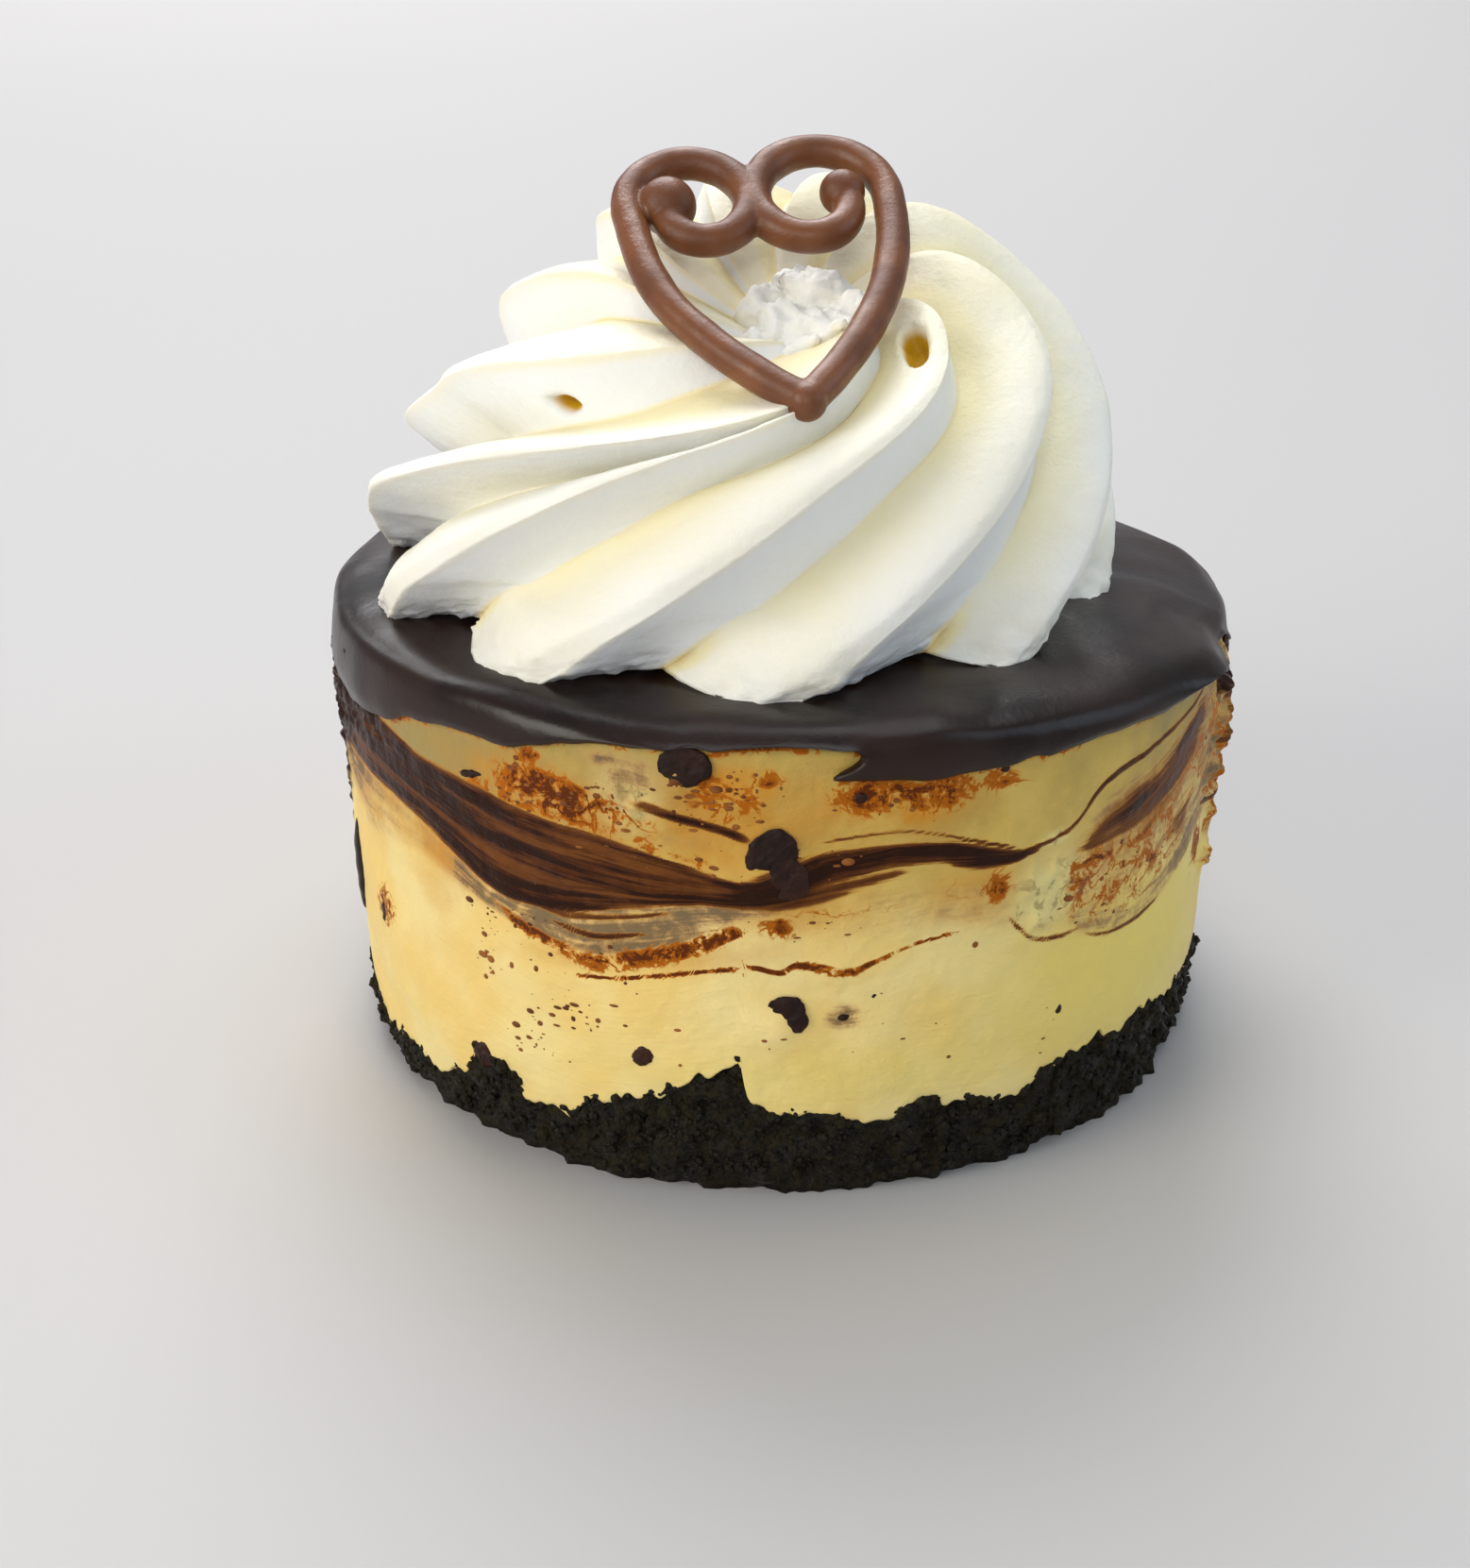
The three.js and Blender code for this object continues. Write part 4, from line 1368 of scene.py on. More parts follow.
VEIL = (
    Band(((-44, 23.4, 26), (-38, 22.2, 24.4), (-33, 21.4, 24.2), (-28, 20.9, 24.6), (-23, 20.4, 25.2),
        (-18, 21.3, 25.8), (-13, 22.3, 26.4), (-9, 23.8, 26.8), (-4, 25.3, 27.2), (2, 26.6, 28.2)), 0.85,
        0.6),
    Vein(((-27, 21.6, 0.3), (-23, 22, 0.35), (-15, 24.2, 0.45), (-8, 25.8, 0.45), (-2, 27, 0.5)), 1.1),
    Patch(-30, 23.2, 3.4, 1.6, 1.1, -12),
    Patch(-24, 32.4, 7, 1.4, 0.35, -10),
    Band(((-90, 22.4, 29.6), (-66, 22.6, 28.6), (-59, 23.4, 28.3), (-49, 24.5, 27.5), (-43, 23.4, 26),
        (-37, 21.8, 24.2)), 0.26, 1.4),
    Patch(-18, 35.6, 2.2, 2.4, 0.6, 20),
    Patch(-21, 37.6, 1.6, 0.8, 0.6),
    Patch(-12, 31.6, 3.2, 1, 0.25),
    Band(((7, 23.4, 27.4), (15, 23.8, 27), (22, 23.4, 27), (28, 21.6, 27.4)), 0.22, 0.8),
    Band(((34, 20.6, 28.4), (38, 19.8, 30), (42, 18.9, 31.6), (48, 18.6, 32.8), (55, 19.5, 34),
        (63, 21.4, 36.2), (74, 24, 37.4)), 0.42, 1.2),
    Vein(((38, 28.2, 1.4), (48, 29.2, 2.2), (56, 30.6, 2.6), (64, 33.6, 2.2)), 1.3, 1.6),
    Patch(69, 28, 3, 3.5, 0.9),
    Patch(60, 22.5, 5, 1.8, 0.7, 20),
    Patch(-71, 28.5, 6, 3.4, 0.95, -14),
    Patch(6.4, 16.4, 1.3, 1, 0.8),
    Band(((70, 23.4, 30), (90, 22.4, 28.4), (108, 21.6, 27.4), (128, 22.8, 28.6), (148, 22.6, 29.2),
        (170, 20.6, 26.4), (190, 20.6, 26.6), (212, 23.2, 28.8), (236, 25, 31), (262, 26, 31.6),
        (284, 26.4, 31.8)), 0.5, 0.8),
    Patch(142, 35.8, 3, 1.2, 0.6),
    Patch(190, 35.8, 3, 1.2, 0.6),
)

CURD = (
    Patch(31.2, 24.4, 3.3, 3.7, 1.05),
    Patch(62, 37.4, 3, 1.2, 0.8),
    Patch(32, 29.2, 1.4, 0.7, 0.9),
    Patch(-18, 34.6, 2.6, 2.8, 0.75),
    Patch(74, 29, 3.4, 7, 0.6),
    Patch(130, 25, 3, 2, 0.6),
    Patch(214, 36, 3, 1.6, 0.6),
)

SMEAR = (
    Patch(-78, 33, 8.5, 7.5, 1.3, 14),
    Patch(-64, 35.6, 5, 2.6, 1.1, -24),
    Patch(-82, 24, 3.4, 8, 0.8),
    Patch(-104, 33.5, 8, 4.5, 0.85),
    Patch(72, 35, 3.6, 2.4, 0.7, 24),
)

# Where the side is torn and stands out.
TORN = (
    Patch(73, 33.8, 3, 3.2, 1, 20),
    Patch(72, 29, 2.4, 4),
    Patch(72, 23.5, 1.9, 4.4, 0.9),
    Patch(71, 18, 1.5, 1.5, 0.9),
)

# Where the filling is amber round its stains, and where its painted shade is darkest.
AMBER = (
    Patch(-26, 33.4, 10, 3, 0.8, -8),
    Patch(-8, 32.6, 8, 4.4, 0.75),
    Patch(9, 34, 10, 3.6, 0.6),
    Patch(11.7, 33.5, 4, 1.2, 1.1),
    Patch(-5.8, 36.2, 3.4, 1.8),
    Patch(23.5, 25.2, 3.2, 2.4, 0.9),
    Patch(-42, 21.6, 9, 3, 0.35),
    Patch(3, 26, 7, 2.2, 0.6),
    Patch(22, 26.2, 5, 2.6, 0.6),
    Patch(38, 24.6, 6, 4, 0.55),
    Patch(-19, 20.6, 12, 1.5, 0.55, 8),
    Band(((-90, 23, 30), (-66, 24.2, 30), (-59, 24.2, 29.4), (-49, 24, 28.4), (-43, 23, 26.6),
        (-37, 21.4, 24.6)), 0.9, 1.2),
    Patch(-54, 20, 18, 9, 0.16),
    Patch(72, 28, 4, 9, 0.7),
    Patch(108, 31, 14, 5, 0.7),
    Patch(160, 32, 16, 5, 0.7),
    Patch(208, 33, 14, 4, 0.7),
    Patch(250, 29, 14, 4, 0.6),
)
# Patches of painted shade near the rim.
PAINTED_SHADE = (
    Patch(-50, 36, 11, 6, 0.6),
    Patch(-24, 35, 10, 4, 0.25),
    Patch(58, 36, 8, 3, 0.3),
)

# Where the filling is a clearer, greener yellow.
LEMON = (
    Patch(20, 31.5, 9, 8, 0.45),
    Patch(48, 16, 17, 9),
    Patch(32, 37, 10, 3, 0.7),
    Patch(-46, 36, 6, 2, 0.6),
    Patch(10, 11, 18, 3, 0.5),
)

# Where crumbs and specks of chocolate show: the chance of one at each place.
SPECKLED = (
    Patch(-38, 18.4, 1.1, 3.6, 0.9),
    Patch(-25.5, 14.6, 2.2, 2.6, 0.7),
    Patch(-32, 11.6, 2.6, 1.6, 0.7),
    Patch(-30, 17.5, 7, 5, 0.12),
    Patch(-33, 21.5, 2.4, 1, 1.1),
    Patch(-26, 33.6, 6, 1.8, 0.9),
    Patch(-8, 35, 3.4, 2.2, 1.3),
    Patch(-10, 29.8, 8, 1, 0.3),
    Patch(3, 30.6, 3, 1, 0.5),
    Patch(12, 34.8, 4, 1.6, 0.25),
    Patch(2, 24.6, 4, 1.2, 0.3),
    Patch(42, 23.6, 6, 3, 0.25),
    Patch(10, 13.5, 22, 4, 0.03),
    Patch(170, 24, 60, 12, 0.04),
)

# Lines that the streaks run along, from low to high: mean height, then front angles and
# heights. Between two of them a place keeps its share of the way.
FLOW_TOP = 41.0
FLOW_LINES = (
    (20, ((-180, 19.4), (-150, 21.4), (-110, 23.6), (-80, 23.6), (-64, 23.4), (-49, 24), (-43, 23),
        (-37, 21.6), (-31, 20.2), (-24, 19.2), (-18, 20), (-12, 21.2), (-6, 23), (-1, 22.6), (6, 21.2),
        (16, 22.4), (28, 22.2), (36, 20.4), (46, 18.8), (56, 19.8), (66, 23), (100, 21), (140, 22.8),
        (180, 19.4))),
    (25, ((-180, 24.6), (-150, 26.8), (-110, 30), (-80, 29.6), (-59, 28.3), (-49, 27.5), (-43, 26.1),
        (-38, 24.4), (-33, 23.8), (-26, 24), (-20, 24.9), (-12, 26), (-4, 26.4), (6, 27.4), (16, 28.2),
        (24, 28), (34, 26.6), (46, 26.4), (56, 28.4), (66, 30), (84, 28), (106, 26.8), (132, 28), (150, 28.2),
        (180, 24.6))),
    (29, ((-180, 28.2), (-150, 30), (-120, 33.6), (-80, 33.4), (-62, 31.4), (-50, 30.2), (-44, 29.5),
        (-37, 28.3), (-31, 27.7), (-24, 27.3), (-15, 26.8), (-6, 26.9), (-2, 28), (4, 29.2), (12, 30),
        (20, 29.3), (27, 28.7), (34, 28.6), (40, 29.4), (50, 31), (60, 33.8), (72, 33.6), (86, 31.6),
        (106, 29.8), (126, 30.4), (142, 32), (160, 30.4), (180, 28.2))),
    (33, ((-180, 33), (-150, 34.4), (-110, 36.6), (-80, 36.6), (-60, 34.6), (-48, 33), (-41, 32.8),
        (-35, 31.8), (-29, 31.4), (-22, 31), (-15, 30.1), (-9, 29.2), (-3, 29.2), (4, 31.4), (12, 32.2),
        (21, 30.9), (28, 30.2), (34, 30.6), (39, 32.6), (48, 33.8), (60, 36.4), (80, 35.4), (104, 33.4),
        (126, 34.2), (142, 35), (160, 34), (180, 33))),
)


@dataclass
class MarbledFilling(Piece):
    """The cheesecake filling, with the marbling that shows at its side."""

    name = "cheesecake_filling_marbled"
    slot = Slot.FILLING
    finish = MarbledFinish()
    stands_for = ("cheesecake_filling",)
    front_columns: int = 470
    back_columns: int = 160
    front_reach: float = 84.0
    side_rows: int = 146
    tuck: float = 0.9

    def columns(self) -> Array:
        """Spaces the mesh's columns, closest together where the marbling is finest.

        Returns:
            Their front angles.
        """
        front = np.linspace(-self.front_reach, self.front_reach, self.front_columns, endpoint=False)
        back = np.linspace(self.front_reach, 360.0 - self.front_reach, self.back_columns, endpoint=False)
        return np.concatenate([front, back])

    @staticmethod
    def total(marks: Sequence[Mark], a: Array, z: Array) -> Array:
        """Puts the marks of one kind together, the strongest on top.

        Args:
            marks: The marks.
            a: Front angles.
            z: Heights.

        Returns:
            The strength at each place.
        """
        fields = [mark.field(a, z) for mark in marks]
        strongest = np.max(fields, axis=0)
        return strongest + 0.25 * (np.sum(fields, axis=0) - strongest)

    @staticmethod
    def straightened(a: Array, z: Array) -> Array:
        """Heights that stay the same all along a streak.

        Args:
            a: Front angles.
            z: True heights.

        Returns:
            For each place the mean height of the flow line through it.
        """
        here = (a + 180.0) % 360.0 - 180.0
        known = [0.0, *(mean for mean, _ in FLOW_LINES), FLOW_TOP]
        lines = [np.zeros_like(a)]
        for _, path in FLOW_LINES:
            angle, height = np.array(path, float).T
            lines.append(np.interp(here, angle, height))
        lines.append(np.full_like(a, FLOW_TOP))
        result = np.zeros_like(z)
        for k in range(len(known) - 1):
            share = np.clip((z - lines[k]) / (lines[k + 1] - lines[k]), 0.0, 1.0)
            result = result + share * (known[k + 1] - known[k])
        return result

    def build(self) -> Object:
        """Rings from the seam up the side and over the top, with the marbling stored."""
        form = self.form
        a = self.columns()
        foot = form.ragged_edge(a) - self.tuck
        head = form.filling_top(a, form.rim_radius) - 0.2
        under = level_rings(a, form.ring_radius, (0.3, 0.6, 0.85), form.seam, -0.1)
        under.append(polar(a, form.ring_radius - 1.2, foot))
        share = np.linspace(0.0, 1.0, self.side_rows)[:, None]
        z = mix(foot[None, :], head[None, :], share)
        angle = np.broadcast_to(a, z.shape)
        r = form.filling_side(angle, z)
        place = polar(angle, r, z)
        curd = self.total(CURD, angle, z)
        cocoa = self.total(COCOA, angle, z)
        smear = self.total(SMEAR, angle, z)
        torn = self.total(TORN, angle, z)
        # Under the glaze's hem the filling is stained.
        hem = form.filling_top(a, form.rim_radius) - Glaze().drop(a)
        stained = 0.8 * np.exp(-(((z - hem + 0.1) / 0.4) ** 2)) * (0.7 + 0.5 * clouds(place, 3.0, 24))
        # The side is uneven all over, and rougher where it is curd, smeared or torn.
        r = r + 0.10 * clouds(place, 3.5, 21, 2) + 0.035 * clouds(place, 0.9, 22, 2)
        r = r + curd * (0.3 * clouds(place, 1.6, 23, 2) - 0.7 * np.abs(clouds(place, 1.5, 26)) + 0.3)
        r = r + smear * (0.10 + 0.36 * clouds(place, 0.9, 25, 2)) + 0.05 * smooth(cocoa, 0.4, 1.0)
        r = r + torn * (0.55 + 0.75 * clouds(place, 1.3, 27, 3))
        r = r - 0.35 * smooth(share, 0.97, 1.0)
        side = polar(angle, r, z)
        over = level_rings(a, form.rim_radius, (0.93, 0.6, 0.3), form.filling_top)
        rings = np.concatenate([np.stack(under), side, np.stack(over)])
        core = np.array([0, 0, form.crumb_core_height - 0.1])
        mesh = ring_mesh(self.name, rings, core, np.array([0, 0, form.filling_height]))
        below, above = len(under), len(over)
        flow = side.copy()
        flow[..., 2] = self.straightened(angle, z)
        pad = ((below, above), (0, 0))
        paint(mesh, "flow", np.pad(flow * MM, (*pad, (0, 0)), mode="edge"))
        for title, values in (
            ("cocoa", cocoa),
            ("rust", np.maximum(self.total(RUST, angle, z), np.maximum(stained, 0.65 * torn))),
            ("amber", self.total(AMBER, angle, z)),
            # Baked holds painted shade: darker towards the top and in patches near the rim.
            ("baked", 0.72 * smooth(z, 20.0, 33.0) + self.total(PAINTED_SHADE, angle, z)),
            ("veil", np.maximum(self.total(VEIL, angle, z), 0.5 * torn)),
            ("curd", curd),
            ("smear", smear),
            ("lemon", self.total(LEMON, angle, z)),
            ("speckled", self.total(SPECKLED, angle, z)),
        ):
            paint(mesh, title, np.pad(values, pad))
        return new_object(self.name, mesh)


@dataclass
class ChocolateChips(Piece):
    """Chocolate chips cut flush with the side of the filling."""

    name = "chocolate_chips"
    slot = Slot.CHOCOLATE
    finish = chip_finish()
    # Front angle, height, half width, half height and lean of each chip.
    shown: tuple = (
        (-1.9, 30.6, 1.9, 2.3, -24), (-0.2, 29.0, 1.5, 1.9, 30), (-11.5, 37.6, 2.0, 1.6, 0),
        (-0.3, 17.3, 1.5, 1.2, 10), (0.9, 16.3, 0.9, 1.0, 0), (6.4, 16.5, 0.5, 0.45, 0),
        (10.1, 18.0, 0.32, 0.32, 0), (34.8, 13.4, 0.5, 0.4, 35), (27.6, 12.9, 0.4, 0.3, 0),
        (-17.5, 12.1, 0.95, 0.85, 0), (-40.4, 7.9, 1.1, 1.3, 20), (1.4, 12.8, 0.3, 0.28, 0),
        (-39.0, 33.4, 1.4, 0.36, 8), (7.6, 35.1, 0.4, 0.34, 0), (24.5, 36.0, 0.45, 0.35, 0),
        (-61.8, 15.4, 0.5, 0.9, 0),
    )
    hidden: int = 15  # round the back, at random

    def build(self) -> Object:
        """Flat balls half sunk in the side, pressed out of round."""
        rng = np.random.default_rng(8)
        back = []
        for size in rng.uniform(0.4, 1.9, self.hidden):
            at, height = rng.uniform(70, 280), rng.uniform(12, 36)
            back.append((at, height, size, size * rng.uniform(0.7, 1.1), rng.uniform(-40, 40)))
        lumps = []
        for at, height, wide, tall, lean in (*self.shown, *back):
            middle = polar(at, self.form.filling_side(np.array(at), np.array(height)) - 0.12, height)
            outward = polar(at, 1.0, 0.0)
            along = polar(at + 90.0, 1.0, 0.0)
            up = np.array([0.0, 0.0, 1.0])
            turn = math.radians(lean)
            first = math.cos(turn) * along + math.sin(turn) * up
            second = math.cos(turn) * up - math.sin(turn) * along
            lumps.append((middle, np.array([first * wide, second * tall, outward * min(0.36, 0.4 * wide)])))
        mesh = lump_mesh(self.name, lumps, 5)
        displace(mesh, 0.16, 2.0, 31)
        displace(mesh, 0.10, 0.7, 32, 3)
        return new_object(self.name, mesh)


@dataclass
class CocoaSpecks(Scattered):
    """Specks of chocolate and crumb in the side, at random where the filling says."""

    name = "cocoa_specks"
    slot = Slot.CHOCOLATE
    tree_title = "ScatterSpecks"
    finish = speck_finish()
    seeds = (4, 2, 6)
    per_square_mm: float = 2.6
    smallest: float = 0.06
    largest: float = 0.30
    rarity: float = 2.5
    least_stretch: Triple = (0.4, 0.4, 0.3)
    most_stretch: Triple = (1.9, 1.1, 0.45)

    def build(self) -> Object:
        """Scatters flat specks over the filling."""
        tree = self.tree()
        density = tree.wire.times(tree.wire.stored("speckled"), tree.given["Density"])
        tree.close(self.strewn(tree, {"Density": density}, None, 2), tree.given["Material"])
        return tree.run(new_object(self.name, self.host.data.copy()))


@dataclass
class GlazeDrip(Piece):
    """Thin runs of glaze down the left of the side."""

    name = "glaze_drips"
    slot = Slot.GLAZE
    finish = GlazeFinish()
    # Front angle, height, half width and half height of each run.
    runs: tuple = ((-74.5, 16.2, 0.9, 4.6), (-112.0, 25.0, 0.9, 6.0))
    thickness: float = 0.5

    def build(self) -> Object:
        """Long balls half sunk in the side."""
        lumps = []
        for at, height, wide, tall in self.runs:
            middle = polar(at, self.form.filling_side(np.array(at), np.array(height)) - 0.1, height)
            axes = [polar(at + 90.0, wide, 0.0), polar(at, 0.0, tall), polar(at, self.thickness, 0.0)]
            lumps.append((middle, np.array(axes)))
        mesh = lump_mesh(self.name, lumps, 4)
        displace(mesh, 0.15, 2.0, 61)
        return new_object(self.name, mesh)


@dataclass
class Glaze(Piece):
    """The poured chocolate glaze with its uneven hem."""

    name = "chocolate_glaze_poured"
    slot = Slot.GLAZE
    finish = GlazeFinish()
    stands_for = ("chocolate_glaze",)
    lip: float = 0.42
    around: int = 720
    tongue_drop: float = 2.2
    tongue_slant: float = 7.0
    # Runs down the side: front angle, how far they drop, half their width.
    runs: tuple = (
        (-84, 3.4, 16), (-61, 4.2, 15), (-36, 1.6, 12), (28, 2.1, 10), (47, 1.2, 10), (88, 2.6, 7),
        (118, 3.6, 8), (146, 1.8, 13), (-176, 3.2, 8), (-146, 1.6, 10), (-112, 4.4, 9),
    )
    # Bulges of the rim: front angle, how far out, half the width.
    bulges: tuple = (
        (13, 0.5, 7), (60, 1.1, 6), (76, -0.3, 7), (110, 1.2, 9), (-176, 0.7, 8), (-124, 0.6, 8),
        (-75, -0.2, 14),
    )

    def drop(self, a: Array) -> Array:
        """How far below the filling's top the hem hangs.

        Args:
            a: Front angles.

        Returns:
            The drop at each.
        """
        total = 0.75 + sum(drop * bump(a, at, width) for at, drop, width in self.runs) - 0.7 * bump(a, -2, 9)
        place = polar(a, self.form.rim_radius, 0.0)
        return total + self.tongue(a) + 0.3 * clouds(place, 5.0, 41) + 0.22 * clouds(place, 1.8, 42)

    def tongue(self, a: Array) -> Array:
        """The thick run at the front: how much further its foot hangs."""
        here = turn_between(a, 0.0)
        return self.tongue_drop * smooth(here, 6.5, 10.5) * (1.0 - smooth(here, 14.0, 28.0))

    def proud(self, a: Array) -> Array:
        """How far the glaze stands out of the filling's side.

        Args:
            a: Front angles.

        Returns:
            The distance at each.
        """
        place = polar(a, self.form.rim_radius, 0.0)
        total = self.lip + sum(out * bump(a, at, width) for at, out, width in self.bulges)
        return total + 0.12 * clouds(place, 4.0, 43)

    def build(self) -> Object:
        """Rings under the glaze, down behind the hem and over the lip to the middle."""
        form = self.form
        a = np.arange(self.around) * 360.0 / self.around
        crest = form.filling_top(a, form.rim_radius)
        hem = crest - self.drop(a)
        outer = form.filling_side(a, 38.0) + form.gap + self.proud(a)
        inner = form.filling_side(a, hem)
        shoulder = 0.84 * form.rim_radius
        stations = [
            (inner + 0.12, hem + 0.25),
            (inner + 0.30 + 0.15 * self.proud(a), hem),
            (inner + 0.3 + 0.72 * self.proud(a), hem + 0.22),
            (outer, mix(hem, crest, 0.35)),
            (outer - 0.45, crest - 0.2),
            (outer - 1.6, crest + 0.45 * form.glaze_thickness),
            (outer - 3.4, crest + 0.8 * form.glaze_thickness),
            (np.full_like(a, shoulder), form.glaze_top(a, shoulder)),
        ]
        radius, height = (np.stack([s[k] for s in stations]) for k in (0, 1))
        t = np.linspace(0.0, 1.0, 44)
        radius = np.stack([spline(radius[:, i], t) for i in range(self.around)], 1)
        height = np.stack([spline(height[:, i], t) for i in range(self.around)], 1)
        # The tongue's foot leans to the left.
        lean = self.tongue_slant * bump(a, 9.0, 4.6) * smooth(crest - height, 0.9, 3.4)
        lip = polar(a - lean, radius, height)
        under = level_rings(a, form.rim_radius, (0.3, 0.6, 0.93), form.filling_top, 0.1)
        under.append(polar(a, inner - 0.35, mix(hem, crest, 0.5)))
        top = level_rings(a, form.rim_radius, np.linspace(0.82, 0.02, 42), form.glaze_top)
        rings = np.concatenate([np.stack(under), lip, np.stack(top)])
        shown = rings[len(under) :]
        away = np.hypot(shown[..., 0], shown[..., 1])
        level = smooth(away, 0, form.rim_radius)
        waves = 0.24 * clouds(shown, 10.0, 44, 2) + 0.045 * clouds(shown, 3.4, 45)
        shown[..., 2] += level * waves * smooth(shown[..., 2], 36.0, 40.0)
        below = np.array([0, 0, form.filling_height + 0.1])
        middle = np.array([0, 0, form.filling_height + form.glaze_thickness])
        return new_object(self.name, ring_mesh(self.name, rings, below, middle))


@dataclass
class CreamRosette(Piece):
    """Whipped cream piped from a star nozzle in one winding mound."""

    name = "cream_rosette_piped"
    slot = Slot.CREAM
    finish = CreamFinish()
    stands_for = ("cream_rosette",)
    axis: tuple[float, float] = (-3.8, -1.0)
    swirl_end: tuple[float, float] = (0.4, -10.5)
    lobes: int = 10
    across: int = 44
    rows: int = 205
    twist: float = 112.0
    back_twist: float = 16.0
    first_edge: float = -28.0
    # Where a ridge's edge is among its columns, and the share of them beyond it.
    edge_column: float = 0.7
    beyond_edge: float = 0.3
    sunk: float = 0.35  # how deep the foot stands in the glaze
    last: float = 0.994  # the last row, next to the end of the swirl
    # Evenly spaced stations from the glaze to the end of the swirl.
    radius: tuple = (31.6, 32.4, 31.6, 29.2, 25.4, 20.2, 14.4, 8.0, 0)
    height: tuple = (0, 4.5, 10.5, 16.5, 21.3, 24.8, 26.6, 25.0, 20.0)
    tilt: tuple = (0, 0, 0.3, 1.2, 2.8, 4.2, 4.4, 3.0, 0)
    shift: tuple = (0, 0, 0.05, 0.15, 0.32, 0.52, 0.72, 0.88, 1)
    groove: tuple = (4.6, 4.8, 5.0, 4.8, 4.2, 3.4, 2.4, 1.2, 0)
    valley: tuple = (0.42, 0.5, 0.56, 0.62, 0.68, 0.72, 0.76, 0.78, 0.78)
    # How far across a ridge its sharp edge is. The edge itself stays in place.
    crest: tuple = (0.62, 0.62, 0.65, 0.7, 0.76, 0.8, 0.84, 0.88, 0.9)
    wide_wall: float = 0.26
    # Pits in the cream: middle, radius along each axis and depth in millimetres.
    pits: tuple = (
        ((-16.9, -16.7, 59.2), (1.9, 4.0, 1.2), 2.2),
        ((9.5, -18.8, 64.0), (1.3, 4.0, 1.5), 2.0),
        ((-9.9, -25.4, 60.4), (0.6, 1.5, 0.6), 0.5),
    )

    def phases(self) -> Array:
        """Spaces the columns across a ridge, closest together at its edge.

        Returns:
            Their places, from 0 to 1.
        """
        broad = np.linspace(0.0, 0.66, self.across - 23, endpoint=False)
        sharp = np.linspace(0.66, 0.74, 9, endpoint=False)
        wall = np.linspace(0.74, 1.0, 14, endpoint=False)
        return np.concatenate([broad, sharp, wall])

    def widening(self, ridge: Array, t: Array) -> Array:
        """How much wider a ridge's wall is, in ridges: most at the front right, none at the top."""
        edge = self.first_edge + 360.0 * (ridge + 1.0) / self.lobes
        return self.wide_wall * bump(edge, 18, 42) * (1.0 - smooth(t, 0.5, 0.85))

    def mound(self, column: Array, t: Array) -> tuple[Array, dict[str, Array]]:
        """The mound before its grooves are cut.

        Args:
            column: Places round it, in ridges.
            t: Places up it, 0 at the glaze and 1 at the end of the swirl.

        Returns:
            The points, and by name what the mesh stores for the grooves and the finish.
        """
        crest = spline(self.crest, t)
        ridge = np.floor(column)
        even = column - ridge
        before = even * crest / self.edge_column
        beyond = 1.0 - (1.0 - even) * (1.0 - crest) / self.beyond_edge
        phase = np.where(even < self.edge_column, before, beyond)
        column = ridge + phase
        before = self.widening(ridge - 1.0, t) * (1.0 - phase / crest)
        beyond = self.widening(ridge, t) * (phase - crest) / (1.0 - crest)
        moved = np.where(phase < crest, before, beyond)
        start = self.first_edge + 360.0 * (column + 1.0 - crest + moved) / self.lobes
        # The ridges on the left turn early, stand out like fins and pinch the mound's waist.
        early = 40.0 * bump(start, -105, 33) * smooth(t, 0.15, 0.6)
        winding = self.twist + self.back_twist * bump(start, -170, 70)
        a = start + winding * t + early
        step = 0.01
        run = spline(self.radius, t + step) - spline(self.radius, t - step)
        rise = spline(self.height, t + step) - spline(self.height, t - step)
        length = np.hypot(run, rise)
        run, rise = run / length, rise / length
        finned = 1 + 0.75 * bump(a, -98, 46) * (1 - smooth(t, 0.35, 0.8))
        waist = 4.5 * bump(a, -95, 45) * smooth(t, 0.2, 0.36) * (1 - smooth(t, 0.55, 0.9))
        foot = 1.6 * bump(a, -10, 60) * (1 - smooth(t, 0, 0.2))
        foot = foot - 1.0 * bump(a, -88, 30) * (1 - smooth(t, 0.2, 0.4))
        r = np.maximum(spline(self.radius, t) - waist + foot, 0.0)
        shift = spline(self.shift, t)
        points = polar(a, r, spline(self.height, t) - spline(self.tilt, t) * np.cos(np.radians(a)))
        points[..., 0] += mix(self.axis[0], self.swirl_end[0], shift)
        points[..., 1] += mix(self.axis[1], self.swirl_end[1], shift)
        inward = polar(a, -rise, run)
        # Shade is painted light and shade: above zero a yellow glow where light in the grooves yellows the
        # cream, most of all at their feet and higher up, and below zero a cool shade on the wall beyond each
        # edge.
        groove_glow = 0.75 * (smooth(phase, 0.5, 0.0) + smooth(phase, 0.96, 1.0)) * smooth(t, 0.0, 0.2)
        groove_glow = groove_glow + 0.5 * smooth(t, 0.35, 0.75)
        # A painted golden glow at the feet of the grooves, next to the glaze.
        painted_glow = 1.7 * (smooth(phase, 0.1, 0.0) + smooth(phase, 0.92, 1.0))
        painted_glow = painted_glow * (1.0 - smooth(t, 0.02, 0.09))
        stored = {
            "phase": phase,
            "valley": spline(self.valley, t),
            "crest": crest,
            "groove": np.minimum(spline(self.groove, t) * finned, r / np.maximum(rise, 0.05)),
            "shade": groove_glow + painted_glow - smooth(phase, crest, crest + 0.05) * smooth(phase, 1.0, 0.96),
            "inward": inward,
            "strand": np.stack([column * 3.1, t * 2.0, 0.0 * t], -1),
        }
        return points, stored

    def ground(self, points: Array) -> Array:
        """Height of the glaze under each point."""
        a = np.degrees(np.arctan2(points[..., 0], -points[..., 1]))
        return self.form.glaze_top(a, np.hypot(points[..., 0], points[..., 1]))

